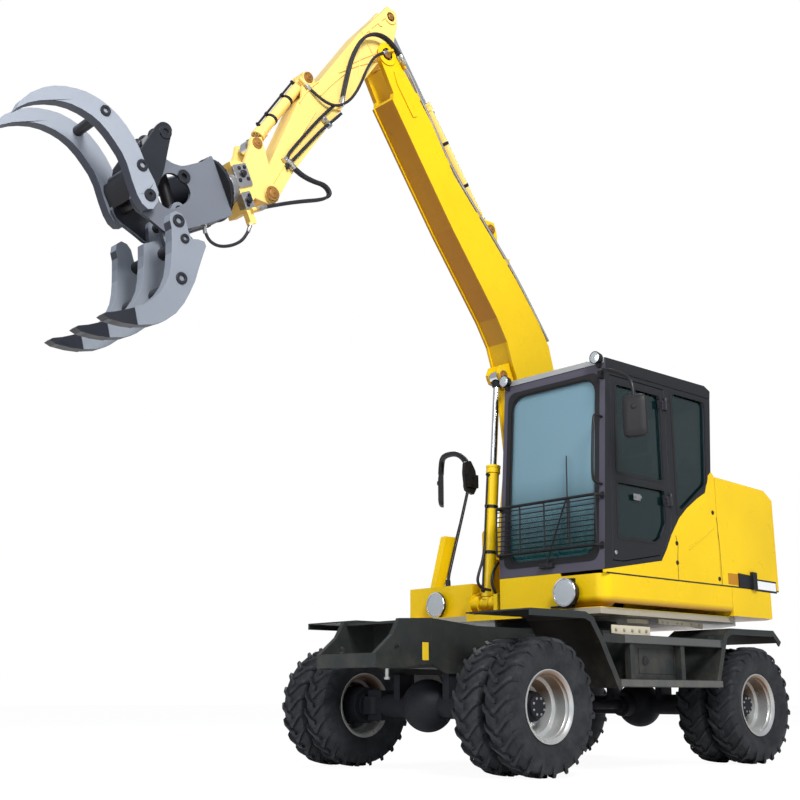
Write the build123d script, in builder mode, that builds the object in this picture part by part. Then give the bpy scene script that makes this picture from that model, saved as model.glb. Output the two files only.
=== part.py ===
from build123d import *
import os
from math import atan, cos, degrees, hypot, radians, sin, tan

# Wheeled excavator with a log grapple, in millimetres.
# +X is forward, +Y is the cab side, +Z is up and the ground is at z = 0.
# Side outlines give x from the front axle and z from the ground.

# Running gear
FRONT_AXLE_X = -190.0
WHEELBASE = 2395.0
TYRE_RADIUS = 430.0
AXLE_Z = TYRE_RADIUS
TYRE_WIDTH = 234.0
LUGS = 16
LUG_TOP = 74.0
LUG_REACH = 102.0
GAP_RADIUS = 406.0
SHOULDER = (70.0, 14.0)
BEAD_RADIUS = 205.0
BEAD_SLOPE = (110.0, 50.0)
RIM_FLANGE_RADIUS = 228.0
RIM_FLANGE = 6.0
RIM_WIDTH = 170.0
RIM_WALL = 9.0
MOUNT_RADIUS = 152.0
DRUM_RADIUS = 128.0
HUB_RADIUS = 98.0
TWIN_MID_Y = 883.0
TWIN_SPACING = 264.0
HALF_FACET = 180.0 / LUGS
RUN_GAP = 0.3
KINGPIN_Y = 545.0
KINGPIN_RADIUS = 24.0
SPINDLE_RADIUS = 52.0
AXLE_TUBE_RADIUS = 78.0
DIFF_RADIUS = 178.0
STEER_RAM_X = -164.0
STEER_RAM_ENDS = (98.0, 292.0)
STEER_ROD_RADIUS = 17.0
STEER_ROD_ENDS = (190.0, KINGPIN_Y - 112.0)

# Chassis
FRAME_HALF_WIDTH = 300.0
FRAME_TOP = 965.0
FRAME_BOTTOM = 640.0
FRAME_PLATE = 20.0
NOSE_REACH = 745.0
SLEW_X = -1375.0
SLEW_RADIUS = 470.0
SLEW_RING_HEIGHT = 52.0
SIDE_OUTER_Y = 1120.0
SIDE_INNER_Y = 560.0
FENDER_PLATE = 10.0
FENDER_LIP = (45.0, 12.0)
STEP_BEAM = 60.0

# Upper works
DECK_TOP = 1311.0
DECK_BOTTOM = 1088.0
DECK_HALF_WIDTH = 1035.0
DECK_FRONT_X = -680.0
TAIL_X = -2930.0
BASE_Z = FRAME_TOP + 22 + SLEW_RING_HEIGHT + 2
BASE_TOP = DECK_BOTTOM - RUN_GAP
PANEL = 16.0
CAB_INNER_Y = 57.0
CAB_WALL = 45.0
PANE_CORNER = 60.0
DOOR_PANE_CORNER = 40.0
CAB_FLOOR_Z = 1362.0
ROOF_SEAM_Z = 2782.0
DOOR_GAP = 7.0
HINGE_Y = DECK_HALF_WIDTH + 12.0
HINGE_X = -1499.0
HINGE_HEIGHTS = (1850.0, 2580.0)
HINGE_LENGTH = 70.0
CAB_FRONT_FOOT = (-684.0, 1335.0)
CAB_FRONT_LEAN = 0.07326

# Working arm, in one upright plane beside the cab
ARM_Y = -150.0
BOOM_WIDTH = 236.0
BOOM_FOOT = (-1090.0, 1560.0)
BOOM_TIP = (372.0, 5300.0)
LIFT_BASE = (-772.0, 1168.0)
LIFT_EYE = (-926.0, 2978.0)
STICK_REAR_PIN = (300.0, 5676.0)
CROWD_BASE = (-812.0, 4196.0)
STICK_TIP = (1420.0, 3812.0)
TILT_BASE = (1084.0, 4852.0)
TILT_EYE = (1540.0, 4160.0)
STICK_WIDTH = 150.0
EAR_GAP = 8.0
PIN_RADIUS = 34.0
BORE_START = 56.0

# Grapple, drawn along its own axis from the centre of its flange
TOOL_ORIGIN = (1828.0, 3752.0)
TOOL_DROP = 26.0
FLANGE_RADIUS = 212.0
HEAD_PLATE_Y = 122.0
HEAD_PLATE = 26.0
TINE = 74.0
UPPER_TINE_Y = 178.0
LOWER_TINE_Y = 330.0
JAW_PIVOT = (631.0, 3.0)
HEAD_BOSS = (278.0, 95.0)
LOWER_PIVOT = (476.0, -158.0)
LEVER_TOP = (323.0, 387.0)
CLAMP_BASE = (372.0, -96.0)
LEVER_PLATE = 26.0

# Hoses
HOSE_RADIUS = 11.0
FITTING_RADIUS = 16.0
FITTING_LENGTH = 60.0


def side(y):
    """Upright plane facing the right-hand side, with x from the front axle and z from the ground."""
    return Plane(origin=(FRONT_AXLE_X, y, 0), x_dir=(1, 0, 0), z_dir=(0, -1, 0))


def level(z):
    """Level plane with x from the front axle."""
    return Plane(origin=(FRONT_AXLE_X, 0, z), x_dir=(1, 0, 0), z_dir=(0, 0, 1))


def facing(x):
    """Upright plane across the machine that faces forward, with y and z as its own axes."""
    return Plane(origin=(FRONT_AXLE_X + x, 0, 0), x_dir=(0, 1, 0), z_dir=(1, 0, 0))


def tool_side(y):
    """Upright plane of the grapple, with u along its axis and v square to it."""
    drop = radians(TOOL_DROP)
    origin = (FRONT_AXLE_X + TOOL_ORIGIN[0], y, TOOL_ORIGIN[1])
    return Plane(origin=origin, x_dir=(cos(drop), 0, -sin(drop)), z_dir=(0, -1, 0))


def plate(points, y_low, y_high, plane=side, mode=Mode.ADD, corners=0.0):
    """Flat plate of a straight-edged side outline between two values of y, with its corners rounded."""
    with BuildSketch(plane(y_low)) as outline:
        with BuildLine():
            Polyline(*points, close=True)
        make_face()
        if corners:
            fillet(outline.vertices(), corners)
    extrude(outline.sketch, amount=y_low - y_high, mode=mode)


def curved_plate(edges, y_low, y_high, plane=side):
    """Flat plate whose outline is given edge by edge: three points for an arc, two for a straight edge."""
    with BuildSketch(plane(y_low)) as outline:
        with BuildLine():
            for points in edges:
                if len(points) == 3:
                    ThreePointArc(*points)
                else:
                    Line(*points)
        make_face()
    extrude(outline.sketch, amount=y_low - y_high)


def cross_pin(centre, radius, y_low, y_high, plane=side, mode=Mode.ADD):
    """Round bar or bore across the machine."""
    with BuildSketch(plane(y_low)) as section:
        with Locations(centre):
            Circle(radius)
    extrude(section.sketch, amount=y_low - y_high, mode=mode)


def block(x_range, y_range, z_range, mode=Mode.ADD):
    """Square block between pairs of x from the front axle, y and z."""
    size = [high - low for low, high in (x_range, y_range, z_range)]
    middle = [(low + high) / 2 for low, high in (x_range, y_range, z_range)]
    with Locations((FRONT_AXLE_X + middle[0], middle[1], middle[2])):
        Box(*size, mode=mode)


def window(x_range, y_range, z_range):
    """Opening with rounded corners, cut along the machine."""
    with BuildSketch(facing(x_range[0])) as opening:
        with Locations((sum(y_range) / 2, sum(z_range) / 2)):
            RectangleRounded(y_range[1] - y_range[0], z_range[1] - z_range[0], PANE_CORNER)
    extrude(opening.sketch, amount=x_range[1] - x_range[0], mode=Mode.SUBTRACT)


def tube(points, radius, turns, mode=Mode.ADD):
    """Round bar or hose along straight runs joined by arcs, from points in x, y and z."""
    placed = [(FRONT_AXLE_X + x, y, z) for x, y, z in points]
    with BuildLine() as route:
        FilletPolyline(*placed, radius=turns)
    start = Plane(origin=route.line @ 0, z_dir=route.line % 0)
    with BuildSketch(start) as section:
        Circle(radius)
    sweep(section.sketch, path=route.line, mode=mode)


def corner_radii(points):
    """Radius at each corner of a hose: as large as the two runs beside it allow."""
    radii = []
    for before, corner, after in zip(points, points[1:], points[2:]):
        run_in = Vector(*corner) - Vector(*before)
        run_out = Vector(*after) - Vector(*corner)
        turn = run_in.get_angle(run_out)
        shorter = min(run_in.length, run_out.length)
        radii.append(0.45 * shorter / tan(radians(turn / 2)))
    return radii


def hose(points, name):
    """Hose between two fittings, from points in x, y and z with x from the front axle."""
    radii = corner_radii(points)
    with BuildPart() as run:
        tube(points, HOSE_RADIUS, radii)
    run.part.label = name
    print(name, "radii", [round(radius) for radius in radii])
    return run


def fitting(end, beyond):
    """Short round end piece that a hose butts against, on the far side of the hose's end."""
    start = Vector(FRONT_AXLE_X + end[0], end[1], end[2])
    along_hose = Vector(*end) - Vector(*beyond)
    face = Plane(origin=start + along_hose.normalized() * RUN_GAP, z_dir=along_hose)
    with BuildSketch(face) as section:
        Circle(FITTING_RADIUS)
    extrude(section.sketch, amount=FITTING_LENGTH)


def cab_front(z):
    """Value of x on the cab's front face, which leans back."""
    return CAB_FRONT_FOOT[0] - CAB_FRONT_LEAN * (z - CAB_FRONT_FOOT[1])


def along(base, eye, y=ARM_Y, plane=side):
    """Plane across a cylinder at its base pin, facing along it."""
    upright = plane(y)
    start = upright.from_local_coords((base[0], base[1], 0))
    finish = upright.from_local_coords((eye[0], eye[1], 0))
    return Plane(origin=start, x_dir=(0, 1, 0), z_dir=finish - start)


def wheel_plane(x, y):
    """Plane across a wheel, facing the left-hand side."""
    return Plane(origin=(FRONT_AXLE_X + x, y, AXLE_Z), x_dir=(1, 0, 0), z_dir=(0, 1, 0))


def ring(y_near, y_far, outer, inner, taper=0.0):
    """Many-sided ring about the axle between two values of y, with a flat underneath, its outside narrowing."""
    with BuildSketch(wheel_plane(0, y_near)) as section:
        RegularPolygon(outer, LUGS, major_radius=False, rotation=HALF_FACET)
        if inner and not taper:
            RegularPolygon(inner, LUGS, major_radius=False, rotation=HALF_FACET, mode=Mode.SUBTRACT)
    extrude(section.sketch, amount=y_far - y_near, taper=taper)


def lug_points(turn):
    """Outline of one row of lugs: a flat top and two flanks for each, with the bottoms of the gaps at one radius."""
    points = []
    for index in range(LUGS):
        middle = 360.0 * index / LUGS + turn
        top = degrees(LUG_TOP / 2 / TYRE_RADIUS)
        for angle, radius in (
            (middle - HALF_FACET, GAP_RADIUS), (middle - top, TYRE_RADIUS / cos(radians(top))),
            (middle + top, TYRE_RADIUS / cos(radians(top))),
        ):
            points.append((radius * cos(radians(angle)), radius * sin(radians(angle))))
    return points


# One tyre, about the middle of its width: two rows of lugs half a pitch apart, and a sloping wall on each side
with BuildPart() as tyre:
    for hand, turn in ((1, 0.0), (-1, HALF_FACET)):
        with BuildSketch(wheel_plane(0, 0)) as lug_row:
            with BuildLine():
                Polyline(*lug_points(turn), close=True)
            make_face()
            RegularPolygon(BEAD_RADIUS, LUGS, major_radius=False, rotation=HALF_FACET, mode=Mode.SUBTRACT)
        extrude(lug_row.sketch, amount=hand * LUG_REACH)
        with BuildSketch(wheel_plane(0, hand * LUG_REACH)) as wall:
            RegularPolygon(GAP_RADIUS, LUGS, rotation=HALF_FACET + turn)
            RegularPolygon(BEAD_RADIUS, LUGS, major_radius=False, rotation=HALF_FACET, mode=Mode.SUBTRACT)
        extrude(wall.sketch, amount=hand * (TYRE_WIDTH / 2 - LUG_REACH))
        end = tyre.faces().sort_by(Axis.Y)[-1 if hand > 0 else 0]
        chamfer(end.outer_wire().edges(), SHOULDER[0], SHOULDER[1], reference=end)
        end = tyre.faces().sort_by(Axis.Y)[-1 if hand > 0 else 0]
        chamfer(end.inner_wires()[0].edges(), BEAD_SLOPE[0], BEAD_SLOPE[1], reference=end)

# Twin tyres of the front left wheel, the pattern for all four
with BuildPart() as tyre_pair:
    with Locations((0, TWIN_MID_Y - TWIN_SPACING / 2, 0), (0, TWIN_MID_Y + TWIN_SPACING / 2, 0)):
        add(tyre.part)

# One rim, about the middle of its width: barrel and flanges, and a dished disc out to its mounting face
RIM_OUTER = BEAD_RADIUS - RUN_GAP
RIM_INNER = RIM_OUTER - RIM_WALL
DISC_START = RIM_WIDTH / 2 - 34.0
MOUNT_FACE = TWIN_SPACING / 2 - RUN_GAP / 2
MOUNT_PLATE = 14.0
DISC_TAPER = degrees(atan((RIM_INNER + 2 - MOUNT_RADIUS) / (MOUNT_FACE - DISC_START)))
with BuildPart() as rim:
    half = RIM_WIDTH / 2
    ring(-half, half, RIM_OUTER, RIM_INNER)
    for low, high in ((-half, -half + RIM_FLANGE), (half - RIM_FLANGE, half)):
        ring(low, high, RIM_FLANGE_RADIUS, RIM_INNER)
    ring(DISC_START, MOUNT_FACE, RIM_INNER + 2, 0, DISC_TAPER)
    with BuildSketch(wheel_plane(0, DISC_START - 1)) as dish:
        RegularPolygon(RIM_INNER - 12, LUGS, major_radius=False, rotation=HALF_FACET)
    extrude(dish.sketch, amount=MOUNT_FACE - DISC_START - MOUNT_PLATE + 1, taper=DISC_TAPER, mode=Mode.SUBTRACT)
    with BuildSketch(wheel_plane(0, DISC_START)) as hub_hole:
        RegularPolygon(HUB_RADIUS + RUN_GAP, LUGS, major_radius=False, rotation=HALF_FACET)
    extrude(hub_hole.sketch, amount=MOUNT_FACE, mode=Mode.SUBTRACT)

# Brake drum and hub of a twin wheel, about the face between the two rims
with BuildPart() as hub:
    ring(-248.0, -MOUNT_PLATE - 2 * RUN_GAP, DRUM_RADIUS, 0)
    ring(-MOUNT_PLATE - 2, 70.0, HUB_RADIUS, 0)
    ring(70.0, 124.0, HUB_RADIUS, 0, 34.0)
    with BuildSketch(wheel_plane(0, -250.0)) as bore:
        Circle(SPINDLE_RADIUS + RUN_GAP)
    extrude(bore.sketch, amount=230.0, mode=Mode.SUBTRACT)

# Twin rims back to back on their hub, turning as one
with BuildPart() as rim_pair:
    with Locations((0, TWIN_MID_Y - TWIN_SPACING / 2, 0)):
        add(rim.part)
    with Locations((0, TWIN_MID_Y + TWIN_SPACING / 2, 0)):
        add(rim.part.mirror(Plane.XZ))
    with Locations((0, TWIN_MID_Y, 0)):
        add(hub.part)


def knuckle(hand, name):
    """Steering knuckle: the upright on its kingpin, the spindle and the steering arm."""
    with BuildPart() as upright:
        with BuildSketch(wheel_plane(0, hand * (KINGPIN_Y + 86))) as flange:
            Circle(92)
        extrude(flange.sketch, amount=-hand * 20)
        with BuildSketch(wheel_plane(0, hand * (KINGPIN_Y + 86))) as spindle:
            Circle(SPINDLE_RADIUS)
        extrude(spindle.sketch, amount=hand * 226)
        with BuildSketch(level(AXLE_Z - 62)) as yoke:
            with Locations((0, hand * KINGPIN_Y)):
                Circle(62)
            with Locations((0, hand * (KINGPIN_Y + 38))):
                Rectangle(124, 76)
        extrude(yoke.sketch, amount=124)
        with BuildSketch(level(AXLE_Z - 112)) as kingpin:
            with Locations((0, hand * KINGPIN_Y)):
                Circle(KINGPIN_RADIUS)
        extrude(kingpin.sketch, amount=224)
        with BuildSketch(level(AXLE_Z - 40)) as arm:
            with BuildLine():
                Polyline(
                    (-40, hand * (KINGPIN_Y - 4)),
                    (-40, hand * (KINGPIN_Y + 50)),
                    (-196, hand * (KINGPIN_Y - 22)),
                    (-196, hand * (KINGPIN_Y - 78)),
                    (-100, hand * (KINGPIN_Y - 20)),
                    close=True,
                )
            make_face()
        extrude(arm.sketch, amount=28)
    upright.part.label = name
    return upright


# Steered front axle: the tube, the round drive casing and the forks that hold the kingpins
with BuildPart() as front_axle:
    with BuildSketch(wheel_plane(0, -KINGPIN_Y + 96)) as beam:
        Circle(AXLE_TUBE_RADIUS)
    extrude(beam.sketch, amount=2 * (KINGPIN_Y - 96))
    with Locations((FRONT_AXLE_X, 0, AXLE_Z)):
        Sphere(DIFF_RADIUS)
    with BuildSketch(facing(0)) as nose_drive:
        with Locations((0, AXLE_Z)):
            Circle(92)
    extrude(nose_drive.sketch, amount=-DIFF_RADIUS - 70)
    for hand in (-1, 1):
        for low in (-104.0, 66.0):
            with BuildSketch(level(AXLE_Z + low)) as fork:
                with Locations((0, hand * KINGPIN_Y)):
                    Circle(60)
                with Locations((0, hand * (KINGPIN_Y - 62))):
                    Rectangle(120, 124)
            extrude(fork.sketch, amount=38)
        block((-60, 60), sorted((hand * (KINGPIN_Y - 124), hand * (KINGPIN_Y - 68))), (AXLE_Z - 104, AXLE_Z + 104))
        with BuildSketch(level(AXLE_Z - 120)) as seat:
            with Locations((0, hand * KINGPIN_Y)):
                Circle(KINGPIN_RADIUS + RUN_GAP)
        extrude(seat.sketch, amount=240, mode=Mode.SUBTRACT)
    # Saddle blocks carry the frame on the axle.
    for hand in (-1, 1):
        block((-70, 70), sorted((hand * 215, hand * 275)), (AXLE_Z + 30, FRAME_BOTTOM))
    # Two steering cylinder bodies behind the beam, each open at its outer end for its rod
    for hand in (-1, 1):
        with BuildSketch(wheel_plane(STEER_RAM_X, hand * STEER_RAM_ENDS[0])) as ram:
            Circle(34)
            Circle(STEER_ROD_RADIUS + RUN_GAP, mode=Mode.SUBTRACT)
        extrude(ram.sketch, amount=hand * (STEER_RAM_ENDS[1] - STEER_RAM_ENDS[0]))
        for y in (140, 240):
            block((STEER_RAM_X + 26, -60), sorted((hand * y, hand * (y + 30))), (AXLE_Z - 30, AXLE_Z + 30))
front_axle.part.label = "front_axle"

# The two steering rods, which slide across together
with BuildPart() as steer_rod:
    for hand in (-1, 1):
        with BuildSketch(wheel_plane(STEER_RAM_X, hand * STEER_ROD_ENDS[0])) as rod:
            Circle(STEER_ROD_RADIUS)
        extrude(rod.sketch, amount=hand * (STEER_ROD_ENDS[1] - STEER_ROD_ENDS[0]))
steer_rod.part.label = "steer_rod"

# Rigid rear axle: the same casing with straight arms out to the wheels
with BuildPart() as rear_axle:
    with BuildSketch(wheel_plane(-WHEELBASE, -(KINGPIN_Y + 60))) as beam:
        Circle(AXLE_TUBE_RADIUS)
    extrude(beam.sketch, amount=2 * (KINGPIN_Y + 60))
    with Locations((FRONT_AXLE_X - WHEELBASE, 0, AXLE_Z)):
        Sphere(DIFF_RADIUS)
    with BuildSketch(facing(-WHEELBASE)) as nose_drive:
        with Locations((0, AXLE_Z)):
            Circle(92)
    extrude(nose_drive.sketch, amount=DIFF_RADIUS + 70)
    for hand in (-1, 1):
        with BuildSketch(wheel_plane(-WHEELBASE, hand * (KINGPIN_Y + 60))) as spindle:
            Circle(SPINDLE_RADIUS)
        extrude(spindle.sketch, amount=hand * 252)
        with BuildSketch(wheel_plane(-WHEELBASE, hand * (KINGPIN_Y + 66))) as flange:
            Circle(104)
        extrude(flange.sketch, amount=hand * 18)
        block((-WHEELBASE - 70, -WHEELBASE + 70), sorted((hand * 215, hand * 275)), (AXLE_Z + 30, FRAME_BOTTOM))
rear_axle.part.label = "rear_axle"

# Gearbox under the frame and the drive shafts to both axles
GEARBOX_X = -1240.0
GEARBOX_HALF = 170.0
SHAFT_END = DIFF_RADIUS + 70 + RUN_GAP
with BuildPart() as driveline:
    block((GEARBOX_X - GEARBOX_HALF, GEARBOX_X + GEARBOX_HALF), (-150, 150), (360, FRAME_BOTTOM + 40 - RUN_GAP))
    for start, finish in ((-SHAFT_END, GEARBOX_X + GEARBOX_HALF), (GEARBOX_X - GEARBOX_HALF, SHAFT_END - WHEELBASE)):
        # Rows of where along the shaft, how long and how thick
        for at, length, radius in ((start, start - finish, 36), (start, 46, 62), (finish + 46, 46, 62)):
            with BuildSketch(facing(at)) as section:
                with Locations((0, AXLE_Z)):
                    Circle(radius)
            extrude(section.sketch, amount=-length)
driveline.part.label = "driveline"

# Welded frame: two deep side plates, cover plates and the cross members under the turntable
SIDE_PLATE_OUTLINE = [
    (250, 1000), (-180, FRAME_TOP), (-2700, FRAME_TOP), (-2760, 900), (-2760, 760), (-2560, FRAME_BOTTOM + 40),
    (-2250, FRAME_BOTTOM), (120, FRAME_BOTTOM), (250, 700),
]
with BuildPart() as chassis_frame:
    for hand in (-1, 1):
        plate(SIDE_PLATE_OUTLINE, *sorted((hand * FRAME_HALF_WIDTH, hand * (FRAME_HALF_WIDTH - FRAME_PLATE))))
    inner = FRAME_HALF_WIDTH - FRAME_PLATE
    block((-2700, -180), (-inner, inner), (FRAME_TOP - FRAME_PLATE, FRAME_TOP))
    block((-2560, 120), (-inner, inner), (FRAME_BOTTOM + 40, FRAME_BOTTOM + 40 + FRAME_PLATE))
    for x in (-180, -860, -1890, -2700):
        block((x, x + FRAME_PLATE), (-inner, inner), (FRAME_BOTTOM + 50, FRAME_TOP - 10))
    # Turntable seat on top of the frame
    with BuildSketch(level(FRAME_TOP)) as seat:
        with Locations((SLEW_X, 0)):
            Circle(SLEW_RADIUS + 20)
    extrude(seat.sketch, amount=22)
    block((SLEW_X - 420, SLEW_X + 420), (-450, 450), (FRAME_TOP - 120, FRAME_TOP))
    # Outriggers that carry the side steps
    for x in (-640, -1880):
        reach = SIDE_OUTER_Y - STEP_BEAM - RUN_GAP
        block((x - 40, x + 40), (-reach, reach), (FRAME_TOP - 95, FRAME_TOP - 45))
chassis_frame.part.label = "chassis_frame"

# Front nose: two tapered arms joined by a channel, with the tow pin through both arms
NOSE_OUTLINE = [
    (250, 1000), (536, 987), (600, 880), (NOSE_REACH, 762), (NOSE_REACH, 672), (650, 664), (250, 700),
]
NOSE_ARM = 36.0
TOW_PIN_AT = (560.0, 800.0)
TOW_BORE_RADIUS = 25.0
with BuildPart() as front_nose:
    for hand in (-1, 1):
        plate(NOSE_OUTLINE, *sorted((hand * FRAME_HALF_WIDTH, hand * (FRAME_HALF_WIDTH - NOSE_ARM))))
    inner = FRAME_HALF_WIDTH - NOSE_ARM
    block((NOSE_REACH - 90, NOSE_REACH), (-inner, inner), (672, 686))
    block((NOSE_REACH - 14, NOSE_REACH), (-inner, inner), (672, 762))
    block((250, 270), (-inner, inner), (700, 990))
    plate([(270, 985), (520, 976), (520, 960), (270, 969)], -inner, inner)
    cross_pin(TOW_PIN_AT, TOW_BORE_RADIUS, -FRAME_HALF_WIDTH - 1, FRAME_HALF_WIDTH + 1, mode=Mode.SUBTRACT)
front_nose.part.label = "front_nose"

# Outer ring of the turntable, bolted to the frame
with BuildPart() as slew_ring:
    with BuildSketch(level(FRAME_TOP + 22)) as ring:
        with Locations((SLEW_X, 0)):
            Circle(SLEW_RADIUS)
            Circle(SLEW_RADIUS - 62, mode=Mode.SUBTRACT)
    extrude(ring.sketch, amount=SLEW_RING_HEIGHT)
slew_ring.part.label = "slew_ring"

# Mudguards, step and step beams on one side, as the left one
FRONT_GUARD = [(187, 1027), (-351, 1029), (-430, 1000), (-530, 867), (-640, 680), (-718, 550)]
REAR_GUARD = [(-1817, 561), (-1890, 760), (-1963, 936), (-2050, 984), (-2650, 988), (-2752, 904)]


def strip(points, thickness):
    """Outline of a bent strip: the points, and the same ones lower down by the thickness."""
    back = []
    for index, (x, z) in enumerate(points):
        before = points[max(index - 1, 0)]
        after = points[min(index + 1, len(points) - 1)]
        run = after[0] - before[0]
        rise = after[1] - before[1]
        length = hypot(run, rise)
        back.append((x - rise * thickness / length, z + run * thickness / length))
    return points + back[::-1]


with BuildPart() as side_left:
    beam = (SIDE_OUTER_Y - STEP_BEAM, SIDE_OUTER_Y)
    plate(strip(FRONT_GUARD, FENDER_PLATE), SIDE_INNER_Y, SIDE_OUTER_Y)
    plate(strip(REAR_GUARD, FENDER_PLATE), SIDE_INNER_Y + 60, SIDE_OUTER_Y)
    # Deeper lip along each mudguard's outer edge
    for outline in (FRONT_GUARD, REAR_GUARD):
        plate(strip(outline, FENDER_LIP[0]), SIDE_OUTER_Y - FENDER_LIP[1], SIDE_OUTER_Y)
    block((-1935, -530), beam, (838, 896))
    block((-1840, -690), beam, (552, 604))
    for x in (-846, -1430):
        block((x - 22, x + 22), (SIDE_OUTER_Y - 56, SIDE_OUTER_Y - 8), (600, 842))
    block((-1820, -720), (SIDE_OUTER_Y - 330, SIDE_OUTER_Y - STEP_BEAM), (560, 578))
side_left.part.label = "side_left"

with BuildPart() as side_right:
    mirror(side_left.part, about=Plane.XZ)
side_right.part.label = "side_right"

# Closed locker between the step beams on each side
with BuildPart() as lockers:
    for hand in (-1, 1):
        near = hand * (SIDE_OUTER_Y - STEP_BEAM - RUN_GAP)
        far = hand * (FRAME_HALF_WIDTH + 320)
        block((-1404, -872), sorted((near, far)), (578 + RUN_GAP, 850))
        block((-1404, -872), sorted((hand * (FRAME_HALF_WIDTH + RUN_GAP), far)), (700, 760))
lockers.part.label = "lockers"

# Revolving base plate with its turntable race, the boom ears and the front bearer of the lift cylinder
EAR_INNER = BOOM_WIDTH / 2 + EAR_GAP
EAR_PLATE = 34.0
BASE_EDGE = DECK_HALF_WIDTH - 55
BASE_OUTLINE = [
    (-690, -BASE_EDGE), (-690, BASE_EDGE), (-2300, BASE_EDGE), (-2700, BASE_EDGE - 220), (-2880, BASE_EDGE - 480),
    (-2880, 480 - BASE_EDGE), (-2700, 220 - BASE_EDGE), (-2300, -BASE_EDGE),
]
EAR_OUTLINE = [
    (-1230, BASE_TOP - 1), (-1190, 1600), (-1140, 1662), (-1060, 1668), (-1010, 1620), (-930, 1400),
    (-850, 1270), (-700, 1230), (-700, BASE_TOP - 1),
]
with BuildPart() as upper_frame:
    with BuildSketch(level(BASE_Z)) as base:
        with BuildLine():
            Polyline(*BASE_OUTLINE, close=True)
        make_face()
    extrude(base.sketch, amount=BASE_TOP - BASE_Z)
    for hand in (-1, 1):
        near = ARM_Y + hand * EAR_INNER
        far = ARM_Y + hand * (EAR_INNER + EAR_PLATE)
        plate(EAR_OUTLINE, *sorted((near, far)))
        block((-2240, -1220), sorted((near, far)), (BASE_TOP - 1, DECK_TOP - 20))
        cross_pin(LIFT_BASE, 62, *sorted((ARM_Y + hand * 62, near)))
        cross_pin(BOOM_FOOT, 96, *sorted((near, far + hand * 8)))
    cross_pin(BOOM_FOOT, PIN_RADIUS, ARM_Y - EAR_INNER - EAR_PLATE, ARM_Y + EAR_INNER + EAR_PLATE)
    cross_pin(LIFT_BASE, 26, ARM_Y - EAR_INNER, ARM_Y + EAR_INNER)
    with BuildSketch(level(FRAME_TOP + 22 + RUN_GAP)) as race:
        with Locations((SLEW_X, 0)):
            Circle(SLEW_RADIUS - 64)
            Circle(SLEW_RADIUS - 130, mode=Mode.SUBTRACT)
    extrude(race.sketch, amount=SLEW_RING_HEIGHT + 5)
upper_frame.part.label = "upper_frame"

# Skirts and front panels round the deck
with BuildPart() as deck_left:
    block((-2240, DECK_FRONT_X), (640, DECK_HALF_WIDTH), (DECK_BOTTOM, DECK_TOP))
    corner = deck_left.edges().filter_by(Axis.Z).sort_by(Axis.X)[-2:].sort_by(Axis.Y)[-1]
    fillet(corner, 90)
    bottom = deck_left.faces().sort_by(Axis.Z)[0].edges().filter_by(Axis.X).sort_by(Axis.Y)[-1]
    fillet(bottom, 70)
    block((-2220, DECK_FRONT_X - 120), (639, DECK_HALF_WIDTH - PANEL), (BASE_TOP, DECK_TOP - PANEL), mode=Mode.SUBTRACT)
    # Panel below the cab, with its lower flange
    block((DECK_FRONT_X - PANEL, DECK_FRONT_X), (63, 641), (DECK_BOTTOM, DECK_TOP + 22))
    block((DECK_FRONT_X - 200, DECK_FRONT_X - PANEL), (63, 641), (DECK_BOTTOM, DECK_BOTTOM + 14))
deck_left.part.label = "deck_left"

MIRROR_UPRIGHT = [(-795, DECK_TOP), (-795, 1340), (-915, 1755), (-1045, 1755), (-890, 1340), (-890, DECK_TOP)]
with BuildPart() as deck_right:
    block((-1640, -790), (-DECK_HALF_WIDTH, -330), (DECK_BOTTOM, DECK_TOP + 24))
    # Narrow leaning upright beside the right-hand mirror's pole
    plate(MIRROR_UPRIGHT, -800, -740)
deck_right.part.label = "deck_right"

# Side panel that sweeps up behind the door
SWEEP = [
    (-684, DECK_TOP + RUN_GAP), (-684, 1333), (-1350, 1440), (-1420, 1530), (-1488, 1641), (-1600, 1776), (-1705, 1861),
    (-1850, 1950), (-1960, 2006), (-2015, 2147), (-2058, 2182), (-2098, 2150), (-2098, DECK_TOP + RUN_GAP),
]
with BuildPart() as side_panel:
    plate(SWEEP, DECK_HALF_WIDTH - PANEL, DECK_HALF_WIDTH)
side_panel.part.label = "side_panel"

# Engine hood: top and sides, open below and towards the cab
HOOD_OUTLINE = [
    (-2105, DECK_TOP + RUN_GAP), (-2105, 2147), (-2133, 2147), (-2809, 2120), (-2926, 2050),
    (TAIL_X, DECK_TOP + RUN_GAP),
]
HOOD_INSIDE = [(-2060, DECK_TOP), (-2060, 2127), (-2133, 2127), (-2800, 2100), (-2906, 2034), (-2910, DECK_TOP)]
with BuildPart() as hood:
    plate(HOOD_OUTLINE, -DECK_HALF_WIDTH, DECK_HALF_WIDTH)
    plate(HOOD_INSIDE, -DECK_HALF_WIDTH + 20, DECK_HALF_WIDTH - 20, mode=Mode.SUBTRACT)
hood.part.label = "hood"

# Tank and valve cover on the right-hand side, ahead of the hood
with BuildPart() as right_tank:
    block((-2098, -1646), (-DECK_HALF_WIDTH, -345), (DECK_BOTTOM, 1900))
    top = right_tank.faces().sort_by(Axis.Z)[-1].edges().filter_by(Axis.X)
    fillet(top, 40)
    block((-2240, -2090), (-DECK_HALF_WIDTH, -345), (DECK_BOTTOM, DECK_TOP))
right_tank.part.label = "right_tank"

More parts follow.
